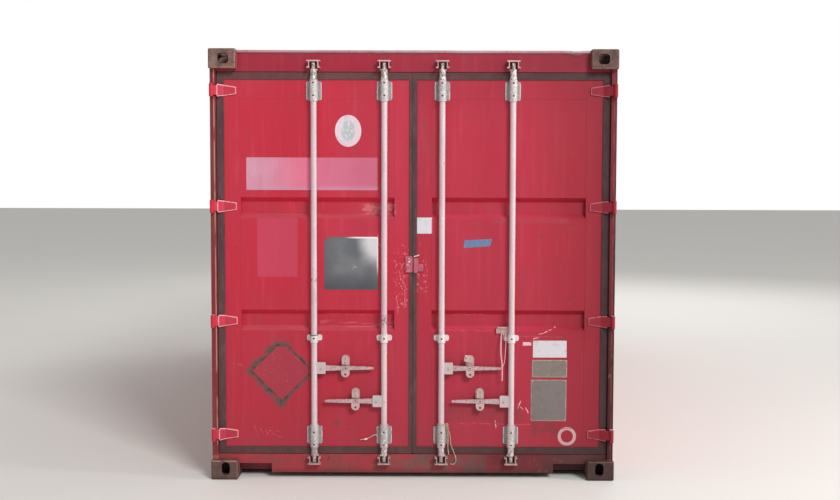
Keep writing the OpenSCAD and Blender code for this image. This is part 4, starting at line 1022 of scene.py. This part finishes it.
def make_right_marks():
    """The labels, the tape, the two riveted plates and the ring sticker on the right leaf."""
    white = sheet("label_white", (203, 197, 202), (184, 170, 174), (154, 140, 140), 0.2)
    fresh = sheet("small_label_white", (214, 212, 220), (198, 190, 198), (172, 160, 164), 0.2)
    blue = sheet("tape_blue", (97, 126, 162), (140, 150, 172), (110, 100, 112))
    tan = sheet("plate_tan", (125, 117, 109), (150, 139, 130), (104, 92, 84), 0.15, 0.55, 0.2)
    grey = sheet("plate_grey", (120, 111, 108), (140, 132, 128), (98, 86, 82), 0.15, 0.55, 0.2)
    rim = sheet("plate_rim", (160, 146, 138), (184, 172, 166), (108, 94, 88), 0.5, 0.5, 0.3)
    ring = sheet("sticker_ring", (189, 153, 152), (176, 100, 108), (160, 116, 116))
    decal("small_label", rounded(*SMALL_LABEL, 2), fresh, RIGHT, 0.5)
    decal("blue_tape", BLUE_TAPE, blue, RIGHT, 0.5)
    decal("long_label", rounded(*LONG_LABEL, 2), white, RIGHT, 0.5)
    for name, box, material in (("upper_plate", UPPER_PLATE, tan), ("lower_plate", LOWER_PLATE, grey)):
        x0, x1, z0, z1 = box
        decal(name + "_rim", rounded(x0, x1, z0, z1, 5), rim, RIGHT, 1.2)
        field = rounded(x0 + PLATE_RIM, x1 - PLATE_RIM, z0 + PLATE_RIM, z1 - PLATE_RIM, 3)
        decal(name, field, material, RIGHT, 0.6, LEAF - 1.0)
        rivets = Shape()
        for x in (x0 + RIVET_IN, x1 - RIVET_IN):
            for z in (z0 + RIVET_IN, z1 - RIVET_IN):
                rivets.dome((x, LEAF - 1.4, z), 4.0, 2.2, 12)
        rivets.done(name + "_rivets", rim, RIGHT)
    outer, inner = ellipse(*RING), ellipse(*RING_OPENING)
    rings = [[spot(x, LEAF + lift, z) for x, z in outline]
             for outline, lift in ((outer, 0.6), (outer, -0.6), (inner, -0.6), (inner, 0.6))]
    Shape().skin(rings, closed=True).done("round_sticker", ring, RIGHT, smooth=False)


def make_centre_plate():
    """The customs plate over the doors' seam, in two halves so that each leaf opens alone."""
    rose = sheet("rose_paint", (180, 92, 108), (216, 150, 158), (140, 62, 72), 0.5)
    bright = sheet("worn_steel", (226, 200, 204), (240, 226, 226), (170, 130, 130), 0.4, 0.4, 0.3)
    shape = Shape().prism(rounded(-46, -3, 1257, 1357, (3, 10, 10, 3)), 58, 51, 1.5)
    shape.block((-46, 52, 1262), (-26, LEAF + 1, 1352), 1.5)
    shape.block((-40, 46, 1262), (-12, 53, 1290), 2.0)
    shape.done("customs_plate_left", rose, LEFT)
    rivets = Shape().dome((-24, 51.5, 1322), 7, 4.5).dome((-24, 51.5, 1340), 4.5, 3)
    rivets.done("customs_plate_rivets", bright, LEFT)
    shape = Shape().prism(rounded(3, 26, 1257, 1345, (8, 3, 3, 8)), 58, 52, 1.5)
    shape.block((20, 53, 1262), (32, LEAF + 1, 1340), 1.5)
    shape.block((30, 52, 1264), (62, LEAF + 1, 1309), 2.5)
    shape.done("customs_plate_right", rose, RIGHT)
    strip = [(3, 1349), (5, 1357), (37, 1366), (38, 1359)]
    Shape().prism(strip, LEAF + 1, 56, 0.8).done("customs_strip", bright, RIGHT)


STRAPS = (("long_strap", 8, ((537, 57.8, 912), (537, 53, 902), (536, 46, 887), (533, 34, 858),
                             (531, 18, 789), (534, 16, 745), (538, 17, 716), (540, 18, 670),
                             (540, 24, 606))),
          ("short_strap", 4, ((560, 57.8, 912), (560, 53, 902), (561, 46, 887), (561, 34, 858),
                              (559, 13, 810), (554, 12, 735), (547, 13, 705), (541, 14, 690))))
STRAP_HALF_THICK = 0.0006
SEAL_WIRE_R = 0.0016
RING_WIRE_R = 0.0022
RING_WIRE_AT = (26.5, 887)
COLLAR = ((ROD_R - 0.5, 2408.8), (21.5, 2408.8), (22, 2410), (22, 2414), (20.5, 2420), (19, 2431),
          (ROD_R - 0.5, 2431.5))
# Each rod's handle: height of its bar, how far out its catch is, how far beside the rod its pin is
BARS = ((680, 407, 45), (479, 346, -45), (680, 346, 45), (479, 407, -45))


def make_rod_bracket_arm(material):
    """The bent arm above the right outer rod's middle bracket, and the two thin straps on it."""
    shape = Shape().prism(rounded(504, 588, 889, 929, 3), LEAF + 1, 57, 1.0)
    shape.block((504, 48, 919), (574, 60, 929))
    shape.block((504, 48, 890), (512, 60, 929))
    shape.dome((562, 57.5, 905), 6, 4)
    shape.prism([(536, 892), (552, 870), (570, 870), (588, 892)], LEAF + 1, 57.5, 0.8)
    shape.done("bracket_arm", material, RIGHT)
    pale = sheet("strap_pale", (214, 158, 166), (230, 190, 194), (168, 100, 108), 0.4)
    across = Vector((1, 0, 0))
    for name, width, points in STRAPS:
        path = smooth_path(points, 6)
        rings = []
        for p, ahead in zip(path, headings(path)):
            out = ahead.cross(across).normalized()
            rings.append([p + u * width / 2000 * across + w * STRAP_HALF_THICK * out
                          for u, w in ((-1, -1), (1, -1), (1, 1), (-1, 1))])
        Shape().skin(rings).done(name, pale, RIGHT, smooth=False)


def make_seal_stub():
    """What is left of a wire seal at the left inner rod's lower bracket: a stiff stub and bead."""
    pale = sheet("seal_pale", (232, 214, 214), (200, 160, 160), (170, 130, 130), 0.3, 0.45)
    path = smooth_path(((-217, 60.5, 268), (-238, 57, 263), (-262, 54, 250), (-285, 54, 240),
                        (-305, 55, 238), (-319, 56, 235)), 5)
    shape = Shape().tube(path, lambda a, run: SEAL_WIRE_R, 8)
    rings = []
    for k in range(7):
        t = k / 6
        r = 7 * math.sin(math.pi * (0.12 + 0.76 * t))
        rings.append([spot(-297 + 24 * t, 55 + r * 0.8 * math.cos(a), 238.5 + 4 * t + r * math.sin(a))
                      for a in turns(14)])
    shape.skin(rings).done("seal_stub", pale, LEFT)


def make_rivets(material):
    """Heads of the pins in hubs and catches, and the retainers' screws, dark with rust."""
    rusty = sheet("rusty_steel", (92, 74, 70), (120, 98, 92), (64, 48, 46), 0.4, 0.6, 0.2)
    for (name, rod_x), (bar_z, catch_x, lean) in zip(RODS, BARS):
        side, sign = ("left", -1) if rod_x < 0 else ("right", 1)
        pin = Shape().dome((rod_x + lean, 12.2, bar_z), 6.5, 3.2)
        pin.done(name + "_hub_pin", material, name + "_rod")
        pin = Shape().dome((sign * catch_x, 14.3, bar_z + 59), 5.5, 2.6)
        pin.done(name + "_catch_pin", rusty, name + "_catch")
        screw = Shape().dome((sign * catch_x, 26.1, bar_z - 38.3), 5.6, 3.2)
        screw.done(name + "_retainer_screw", rusty, side + "_door")


def make_bolt_hole_shade():
    """Dark domes over the bolt holes in the brackets' barrels: painted shade standing for the holes."""
    # Painted shade: near-black domes where the holes look dark.
    dark = two_tone("bolt_hole_shade", (50, 34, 34), (30, 22, 22), 0.006, 0.6, metallic=0.2)
    for side, sign in SIDES:
        shape = Shape()
        for rod_x in (sign * OUTER_ROD_X, sign * INNER_ROD_X):
            for z in BOLT_HEIGHTS:
                shape.dome((rod_x, 7.5, z), 6.0, 1.8)
        shape.done(side + "_door_bolt_hole_shade", dark, side + "_door")


def make_collars(material):
    """Bell-shaped collars on the rods above the upper barrels, and a dark wire ring lower down."""
    for name, rod_x in RODS:
        shape = Shape().skin([round_rod(rod_x, r, z, 40) for r, z in COLLAR], closed=True)
        shape.done(name + "_collar", material, name + "_rod")
    dark = sheet("band_dark", (44, 34, 36), (70, 54, 52), (60, 48, 46), 0.4, 0.7)
    ring = round_rod(-OUTER_ROD_X, *RING_WIRE_AT, 48, 6.5)
    Shape().tube(ring, lambda a, run: RING_WIRE_R, 8, closed=True).done("wire_ring", dark, LEFT)


def make_seal_fins(rubber):
    """Thin rubber fins that close the gaps round the leaves, and the one over the middle seam."""
    dull = two_tone("fin_rubber", (98, 54, 56), (78, 42, 44), 0.03, 0.8, stretch=(1, 1, 3), specular=0.2)
    for side, sign in SIDES:
        shape = Shape()
        shape.block((sign * (GASKET_OUT - 1), 62, GASKET_LOW - 3.5),
                    (sign * (GASKET_OUT + 3.5), 68, GASKET_HIGH + 3.5), 0.5)
        for low, high in ((GASKET_LOW - 3.5, GASKET_LOW + 1), (GASKET_HIGH - 1, GASKET_HIGH + 3.5)):
            shape.block((sign * 8, 62, low), (sign * (GASKET_OUT - 1), 68, high), 0.5)
        shape.done(side + "_seal_fins", dull, side + "_door")
    middle = Shape().block((-3.8, 60, GASKET_LOW + 2), (6, 63, GASKET_HIGH + 3), 0.6)
    middle.done("middle_seal", rubber, RIGHT)


KEEPER_HALF = 37

# Beads round the fittings: x and heights of the level ones, x and ends of the upright ones
LEVEL_X = (1182, 1213)
LEVEL_Z = (118.5, 2472.5)
UPRIGHT_X = 1057
UPRIGHT_Z = ((35, 117), (2474, 2570))


def make_welds(paints):
    """Weld beads where the leaves' panels meet their frames, and round keepers and fittings."""
    inner, outer = PANEL_X
    for side, sign in SIDES:
        shape = Shape()
        for z in PANEL_Z:
            shape.bead((sign * inner, LEAF, z), (sign * outer, LEAF, z), 1.3)
        for x in PANEL_X:
            for low, high in PANEL_FLATS:
                shape.bead((sign * x, LEAF, low), (sign * x, LEAF, high), 1.3)
        shape.done(side + "_door_seam", paints[side], side + "_door")
    shape = Shape()
    for name, rod_x in RODS:
        for z in KEEPER_EDGES:
            ends = [(rod_x + half, HEADER_DEPTH - 0.5, z) for half in (-KEEPER_HALF, KEEPER_HALF)]
            shape.bead(*ends, 2.2)
    for side, sign in SIDES:
        for z in LEVEL_Z:
            shape.bead(*[(sign * x, POST_DEPTH + 0.5, z) for x in LEVEL_X], 2.5)
        for heights in UPRIGHT_Z:
            shape.bead(*[(sign * UPRIGHT_X, HEADER_DEPTH - 0.2, z) for z in heights], 2.5)
    shape.done("weld_beads", paints["rail"], "container")


EDGE_HALF = 1056
EDGE_STEPS = 220
EDGE_FACE = 58
EDGE_FACE_TOP = 2575
EDGE_PROFILE = ((58.5, 2566), (55.2, 2566.6), (53.6, 2569), (53.4, 2576), (53.9, 2581), (56, 2584.6),
                (60, 2586), (76, 2586.2), (76, 2583), (58.5, 2582))
EDGE_DENTS = ((972, 34, 12.0), (700, 90, 2.0), (-640, 120, 2.5), (-200, 160, 1.5), (300, 60, 2.5),
              (1030, 16, -2.0))


def make_roof_edge():
    """The roof's front edge folded over the header, dented where doors and lifting gear hit it."""
    rings = []
    for k in range(EDGE_STEPS + 1):
        x = -EDGE_HALF + 2 * EDGE_HALF * k / EDGE_STEPS
        sink = sum(h * math.exp(-((x - c) / w) ** 2) for c, w, h in EDGE_DENTS)
        sink += 0.9 * noise.noise(Vector((x / 130, 3.0, 0)))
        push = 1.2 * noise.noise(Vector((x / 90, 0, 7.0)))
        rings.append([spot(x, d + (push if d < EDGE_FACE else 0),
                           z - (sink if z < EDGE_FACE_TOP else 0.25 * sink)) for d, z in EDGE_PROFILE])
    Shape().skin(rings).done("roof_edge", roof_edge_paint(), "container")


SCREW_ROWS = 19
SCREW_DEPTHS = (230, LENGTH - 120)
SCREWS_ACROSS = 14
SCREW_PITCH = 170
SCREW_X = -1105
SCREW_Z = 166.8


def make_floor_screws():
    """Screw heads in the floor boards, in rows along the cross members."""
    steel = two_tone("screw_steel", (96, 88, 82), (60, 50, 46), 0.01, 0.5, metallic=0.6)
    shape = Shape()
    near, far = SCREW_DEPTHS
    for row in range(SCREW_ROWS):
        depth = near + (far - near) * row / (SCREW_ROWS - 1)
        for k in range(SCREWS_ACROSS):
            shape.dome((SCREW_X + SCREW_PITCH * k, depth, SCREW_Z), 6.5, 0.9, 10, up=True)
    shape.done("floor_screws", steel, "container")


# Stage and light

STAGE_HALF = 60
STAGE_Z = -0.0005


def make_stage():
    """A pale floor that reaches past the picture."""
    mesh = bmesh.new()
    bmesh.ops.create_grid(mesh, x_segments=1, y_segments=1, size=STAGE_HALF)
    data = bpy.data.meshes.new("stage_floor")
    mesh.to_mesh(data)
    mesh.free()
    data.materials.append(two_tone("stage_floor", (226, 224, 220), (222, 220, 216), 2.0, 0.9, 2))
    ground = bpy.data.objects.new("stage_floor", data)
    ground.location = (0, 0, STAGE_Z)
    bpy.context.collection.objects.link(ground)


def make_world():
    """White where the camera or a mirrored or clear surface sees it, a softer light elsewhere."""
    world = bpy.data.worlds.new("studio")
    bpy.context.scene.world = world
    world.use_nodes = True
    nodes, links = world.node_tree.nodes, world.node_tree.links
    nodes.clear()
    mix = nodes.new("ShaderNodeMixShader")
    path = nodes.new("ShaderNodeLightPath")
    seen = path.outputs["Is Camera Ray"]
    for ray in ("Is Glossy Ray", "Is Transmission Ray"):
        either = nodes.new("ShaderNodeMath")
        either.operation = "MAXIMUM"
        links.new(seen, either.inputs[0])
        links.new(path.outputs[ray], either.inputs[1])
        seen = either.outputs[0]
    links.new(seen, mix.inputs[0])
    for place, colour, strength in ((1, (1.0, 0.985, 0.97, 1), 0.52), (2, (1.0, 1.0, 1.0, 1), 1.0)):
        back = nodes.new("ShaderNodeBackground")
        back.inputs["Color"].default_value = colour
        back.inputs["Strength"].default_value = strength
        links.new(back.outputs[0], mix.inputs[place])
    links.new(mix.outputs[0], nodes.new("ShaderNodeOutputWorld").inputs["Surface"])


def lamp(name, place, target, width, height, power):
    data = bpy.data.lights.new(name, "AREA")
    data.shape = "RECTANGLE"
    data.size = width
    data.size_y = height
    data.energy = power
    light = bpy.data.objects.new(name, data)
    light.location = place
    light.rotation_mode = "QUATERNION"
    light.rotation_quaternion = (Vector(target) - Vector(place)).to_track_quat("-Z", "Y")
    bpy.context.collection.objects.link(light)


make_camera()
paints = dress_nodes()
make_rope(paints["rope"])
make_left_marks()
make_right_marks()
make_centre_plate()
make_rod_bracket_arm(paints["small"])
make_seal_stub()
make_rivets(paints["small"])
make_bolt_hole_shade()
make_collars(paints["rod"])
make_seal_fins(paints["rubber"])
make_welds(paints)
make_roof_edge()
make_floor_screws()
make_stage()
make_world()
lamp("key", (8.0, -18.0, 13.0), (-0.3, -3.0, 1.4), 6.0, 5.0, 2900)
lamp("edge", (7.5, -4.7, 2.6), (-0.2, -3.0, 1.3), 1.2, 4.0, 220)
lamp("far", (3.5, 8.5, 6.5), (0, 2.0, 1.2), 6.0, 4.0, 300)
bpy.context.scene.view_settings.view_transform = "Standard"
